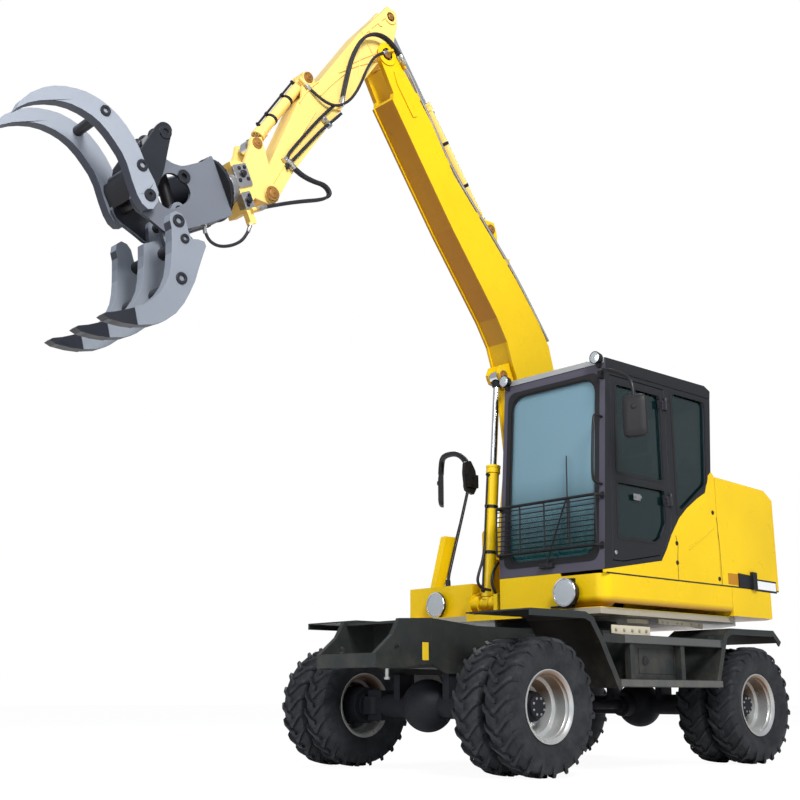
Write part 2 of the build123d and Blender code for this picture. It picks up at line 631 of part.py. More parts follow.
# Cast counterweight under the hood, with rounded rear corners
with BuildPart() as counterweight:
    with BuildSketch(level(DECK_BOTTOM)) as plan:
        with BuildLine():
            Polyline(
                (-2246, -DECK_HALF_WIDTH), (-2246, DECK_HALF_WIDTH), (TAIL_X + 130, DECK_HALF_WIDTH),
                (TAIL_X, DECK_HALF_WIDTH - 135), (TAIL_X, 135 - DECK_HALF_WIDTH), (TAIL_X + 130, -DECK_HALF_WIDTH),
                close=True,
            )
        make_face()
    extrude(plan.sketch, amount=DECK_TOP - DECK_BOTTOM)
    block((-2890, -2640), (135 - DECK_HALF_WIDTH, DECK_HALF_WIDTH - 135), (DECK_TOP, 1700))
counterweight.part.label = "counterweight"

with BuildPart() as engine:
    block((-2600, -2250), (-420, 420), (DECK_TOP + RUN_GAP, 1980))
engine.part.label = "engine"

# Cab shell: posts and walls of one thickness, open at the top for the roof panel
CAB_OUTLINE = [
    (-684, 1335), (-790, ROOF_SEAM_Z), (-2112, ROOF_SEAM_Z), (-2050, 2120), (-2050, 1335),
]
DOOR_OPENING = [
    (-776, 1400), (-838, 2742), (-1497, 2742), (-1497, 1690), (-1420, 1560), (-1340, 1475), (-900, 1400),
]


def inset(points, gap):
    """Outline moved in by a gap, for one with corners that go round clockwise."""
    with BuildSketch() as outline:
        with BuildLine():
            Polyline(*points, close=True)
        make_face()
        offset(amount=-gap, kind=Kind.INTERSECTION)
    ordered = outline.face().outer_wire().order_edges()
    return [((edge @ 0).X, (edge @ 0).Y) for edge in ordered]


with BuildPart() as cab_shell:
    plate(CAB_OUTLINE, CAB_INNER_Y, DECK_HALF_WIDTH)
    plate(
        [(-684 - CAB_WALL, 1300), (-790 - CAB_WALL, 2850), (-2112 + CAB_WALL, 2850), (-2050 + CAB_WALL, 2120),
         (-2050 + CAB_WALL, 1300)],
        CAB_INNER_Y + CAB_WALL, DECK_HALF_WIDTH - CAB_WALL, mode=Mode.SUBTRACT,
    )
    plate(DOOR_OPENING, DECK_HALF_WIDTH - CAB_WALL - 1, DECK_HALF_WIDTH + 1, mode=Mode.SUBTRACT)
    # Quarter window behind the door, and one window on the boom side
    plate([(-1580, 2742), (-2040, 2742), (-1992, 2080), (-1580, 1790)], DECK_HALF_WIDTH - CAB_WALL - 1,
          DECK_HALF_WIDTH + 1, mode=Mode.SUBTRACT, corners=PANE_CORNER)
    plate([(-850, 2742), (-2040, 2742), (-1985, 2000), (-1900, 1900), (-790, 1900)], CAB_INNER_Y - 1,
          CAB_INNER_Y + CAB_WALL + 1, mode=Mode.SUBTRACT, corners=PANE_CORNER)
    # Windscreen and rear window
    window((-900, -640), (CAB_INNER_Y + 62, DECK_HALF_WIDTH - 70), (1420, 2742))
    window((-2120, -2000), (CAB_INNER_Y + 90, DECK_HALF_WIDTH - 90), (2230, 2720))
    # The wall beside the side panel makes room for it.
    plate(SWEEP, DECK_HALF_WIDTH - PANEL - 0.3, DECK_HALF_WIDTH + 1, mode=Mode.SUBTRACT)
    # Fixed halves of the door's hinges, above the door's own
    for z in HINGE_HEIGHTS:
        with BuildSketch(level(z + HINGE_LENGTH + RUN_GAP)) as hinge:
            with Locations((HINGE_X, HINGE_Y)):
                Circle(11)
            with Locations((HINGE_X - 15, HINGE_Y - 5)):
                Rectangle(30, 24)
        extrude(hinge.sketch, amount=24)
cab_shell.part.label = "cab_shell"

with BuildPart() as cab_roof:
    plate([(-791, ROOF_SEAM_Z), (-797, 2862), (-2045, 2871), (-2120, 2838), (-2113, ROOF_SEAM_Z)], CAB_INNER_Y, DECK_HALF_WIDTH)
    plate([(-880, 2700), (-880, 2826), (-2045, 2830), (-2045, 2700)], CAB_INNER_Y + CAB_WALL, DECK_HALF_WIDTH - CAB_WALL, mode=Mode.SUBTRACT)
cab_roof.part.label = "cab_roof"

with BuildPart() as cab_floor:
    block((-2004, -734), (CAB_INNER_Y + CAB_WALL + 0.3, DECK_HALF_WIDTH - CAB_WALL - 0.3), (1336, CAB_FLOOR_Z))
    block((-1700, -1240), (330, 760), (CAB_FLOOR_Z, 1600))
    for y in (250, 770):
        block((-1560, -1080), (y, y + 70), (CAB_FLOOR_Z, 1960))
    # Four mounts under the floor, on the base plate and on the deck
    for x in (-980, -1980):
        block((x, x + 80), (120, 200), (DECK_BOTTOM, 1337))
        block((x, x + 80), (670, 750), (DECK_TOP + RUN_GAP, 1337))
cab_floor.part.label = "cab_floor"

with BuildPart() as cab_glass:
    glass = 6.0
    # The windscreen leans back with the front posts.
    plate([(-715, 1421), (-715 - glass, 1421), (-812 - glass, 2741), (-812, 2741)],
          CAB_INNER_Y + 62 + RUN_GAP, DECK_HALF_WIDTH - 70 - RUN_GAP)
    plate([(-2036, 2231), (-2042, 2231), (-2087, 2719), (-2081, 2719)],
          CAB_INNER_Y + 90 + RUN_GAP, DECK_HALF_WIDTH - 90 - RUN_GAP)
    fillet(cab_glass.edges().filter_by(Axis.X), PANE_CORNER)
    plate([(-1581, 2741), (-2039, 2741), (-1991, 2080), (-1581, 1791)], DECK_HALF_WIDTH - 26, DECK_HALF_WIDTH - 20,
          corners=PANE_CORNER)
    plate([(-851, 2741), (-2039, 2741), (-1984, 2001), (-1900, 1901), (-791, 1901)], CAB_INNER_Y + 18,
          CAB_INNER_Y + 24, corners=PANE_CORNER)
cab_glass.part.label = "cab_glass"

# Seat with its base, cushion and back
with BuildPart() as seat:
    block((-1640, -1160), (350, 740), (1600 + RUN_GAP, 1720))
    plate([(-1560, 1716), (-1680, 1716), (-1800, 2330), (-1700, 2360)], 350, 740)
    plate([(-1714, 2372), (-1794, 2350), (-1830, 2530), (-1750, 2545)], 430, 660)
    block((-1778, -1738), (520, 570), (2330, 2400))
seat.part.label = "seat"

# Steering column and wheel, and the two control levers on the consoles
with BuildPart() as controls:
    plate([(-900, CAB_FLOOR_Z + 0.3), (-980, CAB_FLOOR_Z + 0.3), (-1030, 2078), (-990, 2088)], 500, 590)
    wheel_at = Plane(origin=(FRONT_AXLE_X - 1024, 545, 2090), z_dir=(-0.5, 0, 1))
    with BuildSketch(wheel_at) as disc:
        Circle(170)
        Circle(148, mode=Mode.SUBTRACT)
        for turn in (0, 120, 240):
            with PolarLocations(80, 1, start_angle=turn):
                Rectangle(160, 26)
        Circle(34)
    extrude(disc.sketch, amount=18, both=True)
    for y in (285, 805):
        with BuildSketch(level(1960.3)) as lever:
            with Locations((-1140, y)):
                Circle(16)
        extrude(lever.sketch, amount=190)
controls.part.label = "controls"

# Door, hinged on the post behind it
DOOR_FRAME = inset(DOOR_OPENING, DOOR_GAP)
DOOR_BAR_Z = 1995.0
with BuildPart() as door:
    plate(DOOR_FRAME, DECK_HALF_WIDTH - CAB_WALL, DECK_HALF_WIDTH)
    plate([(-862, DOOR_BAR_Z + 26), (-893, 2690), (-1438, 2690), (-1438, DOOR_BAR_Z + 26)],
          DECK_HALF_WIDTH - CAB_WALL - 1, DECK_HALF_WIDTH + 1, mode=Mode.SUBTRACT, corners=DOOR_PANE_CORNER)
    plate([(-850, 1560), (-862, DOOR_BAR_Z - 26), (-1438, DOOR_BAR_Z - 26), (-1438, 1720), (-1370, 1610), (-1290, 1560)],
          DECK_HALF_WIDTH - CAB_WALL - 1, DECK_HALF_WIDTH + 1, mode=Mode.SUBTRACT)
    for z in HINGE_HEIGHTS:
        with BuildSketch(level(z)) as hinge:
            with Locations((HINGE_X, HINGE_Y)):
                Circle(11)
            with Locations((HINGE_X + 8, HINGE_Y)):
                Rectangle(24, 14)
            with Locations((HINGE_X + 30, HINGE_Y - 6)):
                Rectangle(36, 18)
        extrude(hinge.sketch, amount=HINGE_LENGTH)
door.part.label = "door"

with BuildPart() as door_glass:
    plate([(-863, DOOR_BAR_Z + 27), (-894, 2689), (-1437, 2689), (-1437, DOOR_BAR_Z + 27)],
          DECK_HALF_WIDTH - 26, DECK_HALF_WIDTH - 20, corners=DOOR_PANE_CORNER)
    plate([(-851, 1561), (-863, DOOR_BAR_Z - 27), (-1437, DOOR_BAR_Z - 27), (-1437, 1721), (-1370, 1611), (-1290, 1561)],
          DECK_HALF_WIDTH - 26, DECK_HALF_WIDTH - 20)
door_glass.part.label = "door_glass"

# Guard rails and grille across the lower windscreen
GUARD_X = -640.0
RAIL_RADIUS = 11.0
with BuildPart() as guard:
    for z in (1500, 1850):
        wall = cab_front(z - RAIL_RADIUS) + RUN_GAP
        tube([(wall, 75, z), (GUARD_X, 75, z), (GUARD_X, 1015, z), (wall, 1015, z)], RAIL_RADIUS, 24)
    for y in range(195, 900, 233):
        block((GUARD_X - 6, GUARD_X + 6), (y - 5, y + 5), (1500, 1850))
    for z in range(1550, 1850, 50):
        block((GUARD_X - 5, GUARD_X + 5), (75, 1015), (z - 5, z + 5))
guard.part.label = "guard"

# Road lamps at the deck's front and work lamps on the roof's front corners
ROAD_LAMPS = [
    # x of the lens, y, z, depth
    (-600, 740, 1190, 80 - RUN_GAP),
    (-740, -690, 1190, 50 - RUN_GAP),
]
ROAD_LAMP_RADIUS = 84.0
WORK_LAMP_Y = (CAB_INNER_Y + 43, DECK_HALF_WIDTH - 45)
with BuildPart() as lamps:
    for x, y, z, depth in ROAD_LAMPS:
        with BuildSketch(facing(x)) as bowl:
            with Locations((y, z)):
                Circle(ROAD_LAMP_RADIUS)
        extrude(bowl.sketch, amount=-depth)
    for y in WORK_LAMP_Y:
        with BuildSketch(facing(-728)) as bowl:
            with Locations((y, 2856)):
                Circle(46)
        extrude(bowl.sketch, amount=-60)
        plate([(-791.2, 2790), (-795.4, 2850), (-760, 2850), (-760, 2790)], y - 12, y + 12)
lamps.part.label = "lamps"

# Mirrors: the left on an arm from the cab's front post, the right on a pole from the deck
MIRROR_WIDTH = 170.0
MIRROR_HEIGHT = 300.0
MIRROR_DEPTH = 50.0
MIRROR_HEADS = [
    # x, y, z of the middle, and the way its back faces
    (-700, 1338, 2361, (0.924, 0.383, 0)),
    (-1407, -1300, 2266, (0.7071, -0.7071, 0)),
]
LEFT_MIRROR_ARM = [
    (-770, DECK_HALF_WIDTH - 15, 2730), (-700, DECK_HALF_WIDTH + 40, 2745), (-700, 1200, 2700), (-700, 1310, 2620),
    (-700, 1338, 2490),
]
RIGHT_MIRROR_ARM = [
    (-893, -700, DECK_TOP + 24 + RUN_GAP), (-893, -700, 1400), (-1144, -700, 2172), (-1240, -800, 2370),
    (-1302, -1050, 2545), (-1345, -1200, 2540), (-1400, -1290, 2400),
]
with BuildPart() as mirrors:
    tube(LEFT_MIRROR_ARM, 12, 30)
    foot = [(cab_front(2700) + RUN_GAP, 2700), (cab_front(2760) + RUN_GAP, 2760), (-745, 2760), (-745, 2700)]
    plate(foot, DECK_HALF_WIDTH - 39, DECK_HALF_WIDTH - 1)
    tube(RIGHT_MIRROR_ARM, 14, 30)
    for x, y, z, facing_out in MIRROR_HEADS:
        back = Plane(origin=(FRONT_AXLE_X + x, y, z), x_dir=(-facing_out[1], facing_out[0], 0), z_dir=facing_out)
        with BuildSketch(back) as head:
            RectangleRounded(MIRROR_WIDTH, MIRROR_HEIGHT, 40)
        extrude(head.sketch, amount=MIRROR_DEPTH / 2, both=True)
mirrors.part.label = "mirrors"

# Hose routes, with x from the front axle
BOOM_HOSE = [
    (232, -19, 5286), (326, -19, 5396), (478, -22, 5430), (622, -30, 5349), (718, -42, 5154), (764, -54, 4942),
    (802, -62, 4733),
]
TILT_HOSE = [
    (378, -19, 5315), (490, -19, 5252), (579, -19, 5098), (656, -20, 4902), (746, -26, 4756), (871, -34, 4672),
    (1010, -44, 4692), (1118, -72, 4778),
]
TOOL_HOSE = [
    (1262, -62, 4102), (1185, -58, 4049), (1066, -50, 4022), (953, -45, 4025), (905, -40, 3960), (985, -36, 3900),
    (1173, -32, 3831), (1360, -32, 3753), (1524, -32, 3676),
]
GRAPPLE_HOSE = [
    (1565, -60, 3550), (1594, -60, 3456), (1694, -60, 3372), (1818, -60, 3332), (1904, -60, 3371), (1923, -60, 3449),
]

# Boom: a deep box, straight from its foot to the bend and straight on to the head
BOOM_OUTLINE = [
    (-1180, 1520), (-1098, 1460), (-1000, 1530), (-1020, 1700), (-1125, 2400), (-1052, 2960), (-1007, 3062),
    (-942, 3254), (-828, 3435), (-646, 3667), (-333, 4066), (-7, 4518), (300, 4950), (300, 5000), (430, 5230),
    (440, 5330), (380, 5385), (310, 5370), (80, 5100), (-110, 4880), (-341, 4520), (-753, 4113), (-1059, 3800),
    (-1323, 3491), (-1440, 3310), (-1492, 3120), (-1480, 2860), (-1210, 1640),
]
with BuildPart() as boom:
    half = BOOM_WIDTH / 2
    plate(BOOM_OUTLINE, ARM_Y - half, ARM_Y + half)
    # The head is open between its two cheeks, where the stick turns.
    plate([(150, 5000), (60, 5120), (300, 5480), (560, 5400), (400, 4950)], ARM_Y - STICK_WIDTH / 2 - 5,
          ARM_Y + STICK_WIDTH / 2 + 5, mode=Mode.SUBTRACT)
    cross_pin(BOOM_TIP, PIN_RADIUS, ARM_Y - half, ARM_Y + half)
    cross_pin(BOOM_FOOT, PIN_RADIUS + RUN_GAP, ARM_Y - half - 1, ARM_Y + half + 1, mode=Mode.SUBTRACT)
    # Ears for the lift cylinder's rod and for the base of the stick's cylinder
    for hand in (-1, 1):
        plate([(-1060, 2900), (-1060, 3120), (-900, 3060), (-870, 2990), (-900, 2925)],
              *sorted((ARM_Y + hand * 48, ARM_Y + hand * 72)))
        plate([(-900, 3960), (-640, 4225), (-760, 4262), (-850, 4262), (-880, 4180)],
              *sorted((ARM_Y + hand * 50, ARM_Y + hand * 74)))
    cross_pin(CROWD_BASE, 26, ARM_Y - 74, ARM_Y + 74)
    fitting(BOOM_HOSE[0], BOOM_HOSE[1])
    fitting(TILT_HOSE[0], TILT_HOSE[1])
boom.part.label = "boom"

# Stick: a slim box with a deep rear end
STICK_OUTLINE = [
    (240, 5740), (330, 5760), (380, 5690), (620, 5400), (1010, 4830), (1180, 4620), (1500, 3850), (1490, 3770),
    (1430, 3735), (1360, 3770), (1207, 4060), (809, 4660), (430, 5220), (370, 5222), (300, 5270), (225, 5640),
]
with BuildPart() as stick:
    half = STICK_WIDTH / 2
    plate(STICK_OUTLINE, ARM_Y - half, ARM_Y + half)
    cross_pin(BOOM_TIP, PIN_RADIUS + RUN_GAP, ARM_Y - half - 1, ARM_Y + half + 1, mode=Mode.SUBTRACT)
    cross_pin(STICK_TIP, PIN_RADIUS, ARM_Y - half - 60, ARM_Y + half + 60)
    # Slot for the crowd cylinder's eye at the rear end
    plate([(150, 5440), (280, 5440), (420, 5560), (420, 5900), (150, 5900)], ARM_Y - 40, ARM_Y + 40, mode=Mode.SUBTRACT)
    for hand in (-1, 1):
        plate([(990, 4800), (1070, 4905), (1130, 4880), (1140, 4660)], *sorted((ARM_Y + hand * 42, ARM_Y + hand * 64)))
    cross_pin(TILT_BASE, 26, ARM_Y - 64, ARM_Y + 64)
    for route in (BOOM_HOSE[::-1], TILT_HOSE[::-1], TOOL_HOSE):
        fitting(route[0], route[1])
stick.part.label = "stick"


def barrel_and_rod(name, base, eye, sizes, y=ARM_Y, plane=side):
    """A cylinder's barrel with its base eye, and its rod with the eye at the far end."""
    outer_radius, rod_radius, barrel_length, rod_start, eye_width = sizes
    length = hypot(eye[0] - base[0], eye[1] - base[1])
    axis = along(base, eye, y, plane)
    half = eye_width / 2
    with BuildPart() as barrel:
        # Rows of where along the axis, how long and how thick
        for at, reach, radius in ((30, barrel_length - 30, outer_radius), (barrel_length - 60, 60, outer_radius + 7)):
            with BuildSketch(axis.offset(at)) as section:
                Circle(radius)
            extrude(section.sketch, amount=reach)
        cross_pin(base, 50, y - half, y + half, plane=plane)
        with BuildSketch(axis.offset(BORE_START)) as bore:
            Circle(rod_radius + RUN_GAP)
        extrude(bore.sketch, amount=barrel_length, mode=Mode.SUBTRACT)
        cross_pin(base, 26 + RUN_GAP, y - half - 1, y + half + 1, plane=plane, mode=Mode.SUBTRACT)
    barrel.part.label = name + "_barrel"
    with BuildPart() as rod:
        with BuildSketch(axis.offset(rod_start)) as section:
            Circle(rod_radius)
        extrude(section.sketch, amount=length - 40 - rod_start)
        cross_pin(eye, 48, y - half, y + half, plane=plane)
        cross_pin(eye, 27, y - half - 1, y + half + 1, plane=plane, mode=Mode.SUBTRACT)
    rod.part.label = name + "_rod"
    return barrel, rod


# Rows of barrel radius, rod radius, barrel's length, where the rod starts inside it, and width of the eyes
lift_barrel, lift_rod = barrel_and_rod("lift", LIFT_BASE, LIFT_EYE, (47, 26, 1080, 680, 80))
crowd_barrel, crowd_rod = barrel_and_rod("crowd", CROWD_BASE, STICK_REAR_PIN, (47, 26, 1130, 650, 70))
tilt_barrel, tilt_rod = barrel_and_rod("tilt", TILT_BASE, TILT_EYE, (40, 22, 700, 105, 64))
clamp_barrel, clamp_rod = barrel_and_rod(
    "clamp", CLAMP_BASE, LEVER_TOP, (40, 22, 400, 84, 100), plane=tool_side
)

# Hanger: two side arms from the stick's tip up to the tilt rod, and down to the rotator
HANGER_ARM = [
    (1350, 3790), (1385, 3880), (1505, 4215), (1590, 4190), (1600, 4120), (1640, 3990), (1592, 3760), (1440, 3745),
]
HANGER_END = [
    (-285, -60), (-262, -120), (-215, -150), (-215, -205), (-150, -205), (-150, 150), (-215, 150), (-285, 110),
]
HANGER_OUTER = STICK_WIDTH / 2 + 30
with BuildPart() as hanger:
    for hand in (-1, 1):
        near = ARM_Y + hand * (STICK_WIDTH / 2 + 4)
        far = ARM_Y + hand * HANGER_OUTER
        plate(HANGER_ARM, *sorted((near, far)))
        cross_pin(STICK_TIP, PIN_RADIUS + 26, *sorted((near, far)))
    cross_pin(STICK_TIP, PIN_RADIUS + RUN_GAP, ARM_Y - HANGER_OUTER - 1, ARM_Y + HANGER_OUTER + 1, mode=Mode.SUBTRACT)
    plate(HANGER_END, ARM_Y - HANGER_OUTER, ARM_Y + HANGER_OUTER, plane=tool_side)
    plate([(-200, -290), (-200, -200), (-152, -200), (-152, -290)], -95, -45, plane=tool_side)
    fitting(TOOL_HOSE[-1], TOOL_HOSE[-2])
    fitting(GRAPPLE_HOSE[0], GRAPPLE_HOSE[1])
hanger.part.label = "hanger"


def tool_across(u):
    """Plane across the grapple's axis, facing along it."""
    origin = tool_side(ARM_Y).from_local_coords((u, 0, 0))
    return Plane(origin=origin, x_dir=(0, 1, 0), z_dir=tool_side(ARM_Y).x_dir)


with BuildPart() as rotator:
    with BuildSketch(tool_across(-149.7)) as body:
        Circle(120)
    extrude(body.sketch, amount=60)
rotator.part.label = "rotator"

# Grapple head: the cone and flange, two windowed cheeks and their cross plates
HEAD_OUTLINE = [
    (0, 208), (90, 150), (200, 160), (330, 165), (360, 60), (470, -40), (560, 60), (640, 84), (712, 30), (700, -60),
    (640, -110), (560, -225), (430, -235), (0, -212),
]
with BuildPart() as grapple_head:
    with BuildSketch(tool_across(-88)) as small_end:
        Circle(130)
    with BuildSketch(tool_across(-20)) as large_end:
        Circle(FLANGE_RADIUS - 14)
    loft([small_end.sketch.face(), large_end.sketch.face()])
    with BuildSketch(tool_across(-20)) as flange:
        Circle(FLANGE_RADIUS)
    extrude(flange.sketch, amount=20)
    inside = HEAD_PLATE_Y - HEAD_PLATE / 2
    for hand in (-1, 1):
        near = ARM_Y + hand * inside
        far = ARM_Y + hand * (inside + HEAD_PLATE)
        plate(HEAD_OUTLINE, *sorted((near, far)), plane=tool_side)
        cross_pin(HEAD_BOSS, 46, *sorted((near - hand * 12, far)), plane=tool_side)
    plate([(0, 200), (22, 200), (22, -205), (0, -205)], ARM_Y - inside, ARM_Y + inside, plane=tool_side)
    plate([(21, -205), (280, -222), (280, -200), (21, -183)], ARM_Y - inside, ARM_Y + inside, plane=tool_side)
    reach = UPPER_TINE_Y + TINE / 2
    cross_pin(JAW_PIVOT, 30, ARM_Y - reach, ARM_Y + reach, plane=tool_side)
    cross_pin(LOWER_PIVOT, 30, ARM_Y - inside, ARM_Y + inside, plane=tool_side)
    fitting(GRAPPLE_HOSE[-1], GRAPPLE_HOSE[-2])
grapple_head.part.label = "grapple_head"

# Upper jaw: two curved tines joined by tubes, with the levers up to the clamp cylinder
UPPER_TINE = [
    [(560, 20), (566, 250), (620, 500)],
    [(620, 500), (912, 738), (1311, 632)],
    [(1311, 632), (958, 641), (771, 497)],
    [(771, 497), (695, 240), (704, -6)],
    [(704, -6), (640, -72), (560, 20)],
]
LEVER = [(262, 400), (300, 448), (360, 440), (600, 262), (620, 60), (560, 20), (450, 130), (300, 330)]
with BuildPart() as upper_jaw:
    inner = UPPER_TINE_Y - TINE / 2
    for hand in (-1, 1):
        near = ARM_Y + hand * inner
        far = ARM_Y + hand * (inner + TINE)
        curved_plate(UPPER_TINE, *sorted((near, far)), plane=tool_side)
        plate(LEVER, *sorted((near, ARM_Y + hand * (inner + LEVER_PLATE))), plane=tool_side)
        cross_pin(LEVER_TOP, 55, *sorted((ARM_Y + hand * 58, near)), plane=tool_side)
        cross_pin(JAW_PIVOT, 30 + RUN_GAP, *sorted((near - hand, far + hand)), plane=tool_side, mode=Mode.SUBTRACT)
    cross_pin((730, 565), 38, ARM_Y - inner, ARM_Y + inner, plane=tool_side)
    cross_pin((604, 300), 38, ARM_Y - inner, ARM_Y + inner, plane=tool_side)
upper_jaw.part.label = "upper_jaw"

# Lower jaw: three curved tines joined by tubes, with the lugs that hang it on the head
LOWER_TINE = [
    [(440, -250), (400, -330)],
    [(400, -330), (516, -658), (800, -900)],
    [(800, -900), (1055, -978), (1330, -960)],
    [(1330, -960), (1121, -886), (920, -780)],
    [(920, -780), (752, -560), (690, -300)],
    [(690, -300), (640, -250)],
    [(640, -250), (440, -250)],
]
JAW_LUG = [
    (330, -140), (320, -90), (345, -50), (395, -46), (430, -80), (522, -112), (560, -235), (520, -330), (420, -330),
    (400, -200),
]
with BuildPart() as lower_jaw:
    for y in (-LOWER_TINE_Y, 0, LOWER_TINE_Y):
        curved_plate(LOWER_TINE, ARM_Y + y - TINE / 2, ARM_Y + y + TINE / 2, plane=tool_side)
    for hand in (-1, 1):
        lug = sorted((ARM_Y + hand * 60, ARM_Y + hand * 100))
        plate(JAW_LUG, *lug, plane=tool_side)
        cross_pin(LOWER_PIVOT, 30 + RUN_GAP, lug[0] - 1, lug[1] + 1, plane=tool_side, mode=Mode.SUBTRACT)
    cross_pin(CLAMP_BASE, 26, ARM_Y - 100, ARM_Y + 100, plane=tool_side)
    cross_pin((560, -343), 42, ARM_Y - LOWER_TINE_Y, ARM_Y + LOWER_TINE_Y, plane=tool_side)
    cross_pin((640, -600), 42, ARM_Y - LOWER_TINE_Y, ARM_Y + LOWER_TINE_Y, plane=tool_side)
lower_jaw.part.label = "lower_jaw"

boom_hose = hose(BOOM_HOSE, "boom_hose")
tilt_hose = hose(TILT_HOSE, "tilt_hose")
tool_hose = hose(TOOL_HOSE, "tool_hose")
grapple_hose = hose(GRAPPLE_HOSE, "grapple_hose")

PIECES = [
    front_axle, knuckle(1, "knuckle_left"), knuckle(-1, "knuckle_right"), steer_rod, rear_axle, driveline,
    chassis_frame, front_nose, slew_ring, side_left, side_right, lockers,
    upper_frame, deck_left, deck_right, side_panel, hood, right_tank, counterweight, engine,
    cab_shell, cab_roof, cab_floor, cab_glass, seat, controls, door, door_glass, guard, lamps, mirrors,
    boom, stick, lift_barrel, lift_rod, crowd_barrel, crowd_rod, tilt_barrel, tilt_rod,
    hanger, rotator, grapple_head, upper_jaw, lower_jaw, clamp_barrel, clamp_rod,
    boom_hose, tilt_hose, tool_hose, grapple_hose,
]
solids = [piece.part for piece in PIECES]

# The four twin wheels are copies of the front left one, moved back or turned over to the right.
for x, end in ((0.0, "front"), (-WHEELBASE, "rear")):
    for pair, kind in ((tyre_pair, "tyres"), (rim_pair, "rims")):
        left = pair.part.moved(Location((x, 0, 0)))
        left.label = f"{kind}_{end}_left"
        right = left.mirror(Plane.XZ)
        right.label = f"{kind}_{end}_right"
        solids += [left, right]

os.makedirs("parts", exist_ok=True)
for solid in solids:
    export_step(solid, f"parts/{solid.label}.step")
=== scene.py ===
import bpy
import bmesh
from math import cos, hypot, pi, radians, sin
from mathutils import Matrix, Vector
from mathutils.geometry import tessellate_polygon

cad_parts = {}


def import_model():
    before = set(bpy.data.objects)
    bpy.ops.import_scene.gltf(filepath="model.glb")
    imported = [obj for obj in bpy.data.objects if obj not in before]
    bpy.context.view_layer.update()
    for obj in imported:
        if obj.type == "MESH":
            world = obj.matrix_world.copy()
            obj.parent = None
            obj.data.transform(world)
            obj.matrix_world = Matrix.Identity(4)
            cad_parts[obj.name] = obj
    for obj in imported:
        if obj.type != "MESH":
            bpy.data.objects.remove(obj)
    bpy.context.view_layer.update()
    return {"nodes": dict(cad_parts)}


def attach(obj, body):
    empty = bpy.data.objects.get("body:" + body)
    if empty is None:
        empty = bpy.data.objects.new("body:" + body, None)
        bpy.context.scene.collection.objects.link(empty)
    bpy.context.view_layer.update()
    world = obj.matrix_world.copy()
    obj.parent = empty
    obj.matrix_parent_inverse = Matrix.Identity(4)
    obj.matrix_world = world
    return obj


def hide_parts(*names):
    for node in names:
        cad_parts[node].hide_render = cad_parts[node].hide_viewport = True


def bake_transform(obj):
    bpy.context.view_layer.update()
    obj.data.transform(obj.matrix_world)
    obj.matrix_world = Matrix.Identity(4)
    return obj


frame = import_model()
NODES = frame["nodes"]

# Places are in millimetres, with x from the front axle, y from the centre line and z from the ground.
FRONT_AXLE_X = -190.0
WHEELBASE = 2395.0
AXLE_Z = 430.0
TWIN_MID_Y = 883.0
TWIN_SPACING = 264.0
ARM_Y = -150.0
TOOL_ORIGIN = (1828.0, 3752.0)
TOOL_DROP = radians(26.0)


def metres(point):
    """A place in millimetres from the front axle, as a place in the frame."""
    return Vector(((point[0] + FRONT_AXLE_X) / 1000, point[1] / 1000, point[2] / 1000))


def tool_point(u, v, y=0.0):
    """A place in the grapple's own directions, with y from the arm's middle plane."""
    x = TOOL_ORIGIN[0] + u * cos(TOOL_DROP) + v * sin(TOOL_DROP)
    z = TOOL_ORIGIN[1] - u * sin(TOOL_DROP) + v * cos(TOOL_DROP)
    return (x, ARM_Y + y, z)


def round_steps(count, start=0.0):
    """Cosine and sine at even steps round a circle, from a share of a step."""
    turns = [2 * pi * (step + start) / count for step in range(count)]
    return [(cos(turn), sin(turn)) for turn in turns]


# Materials

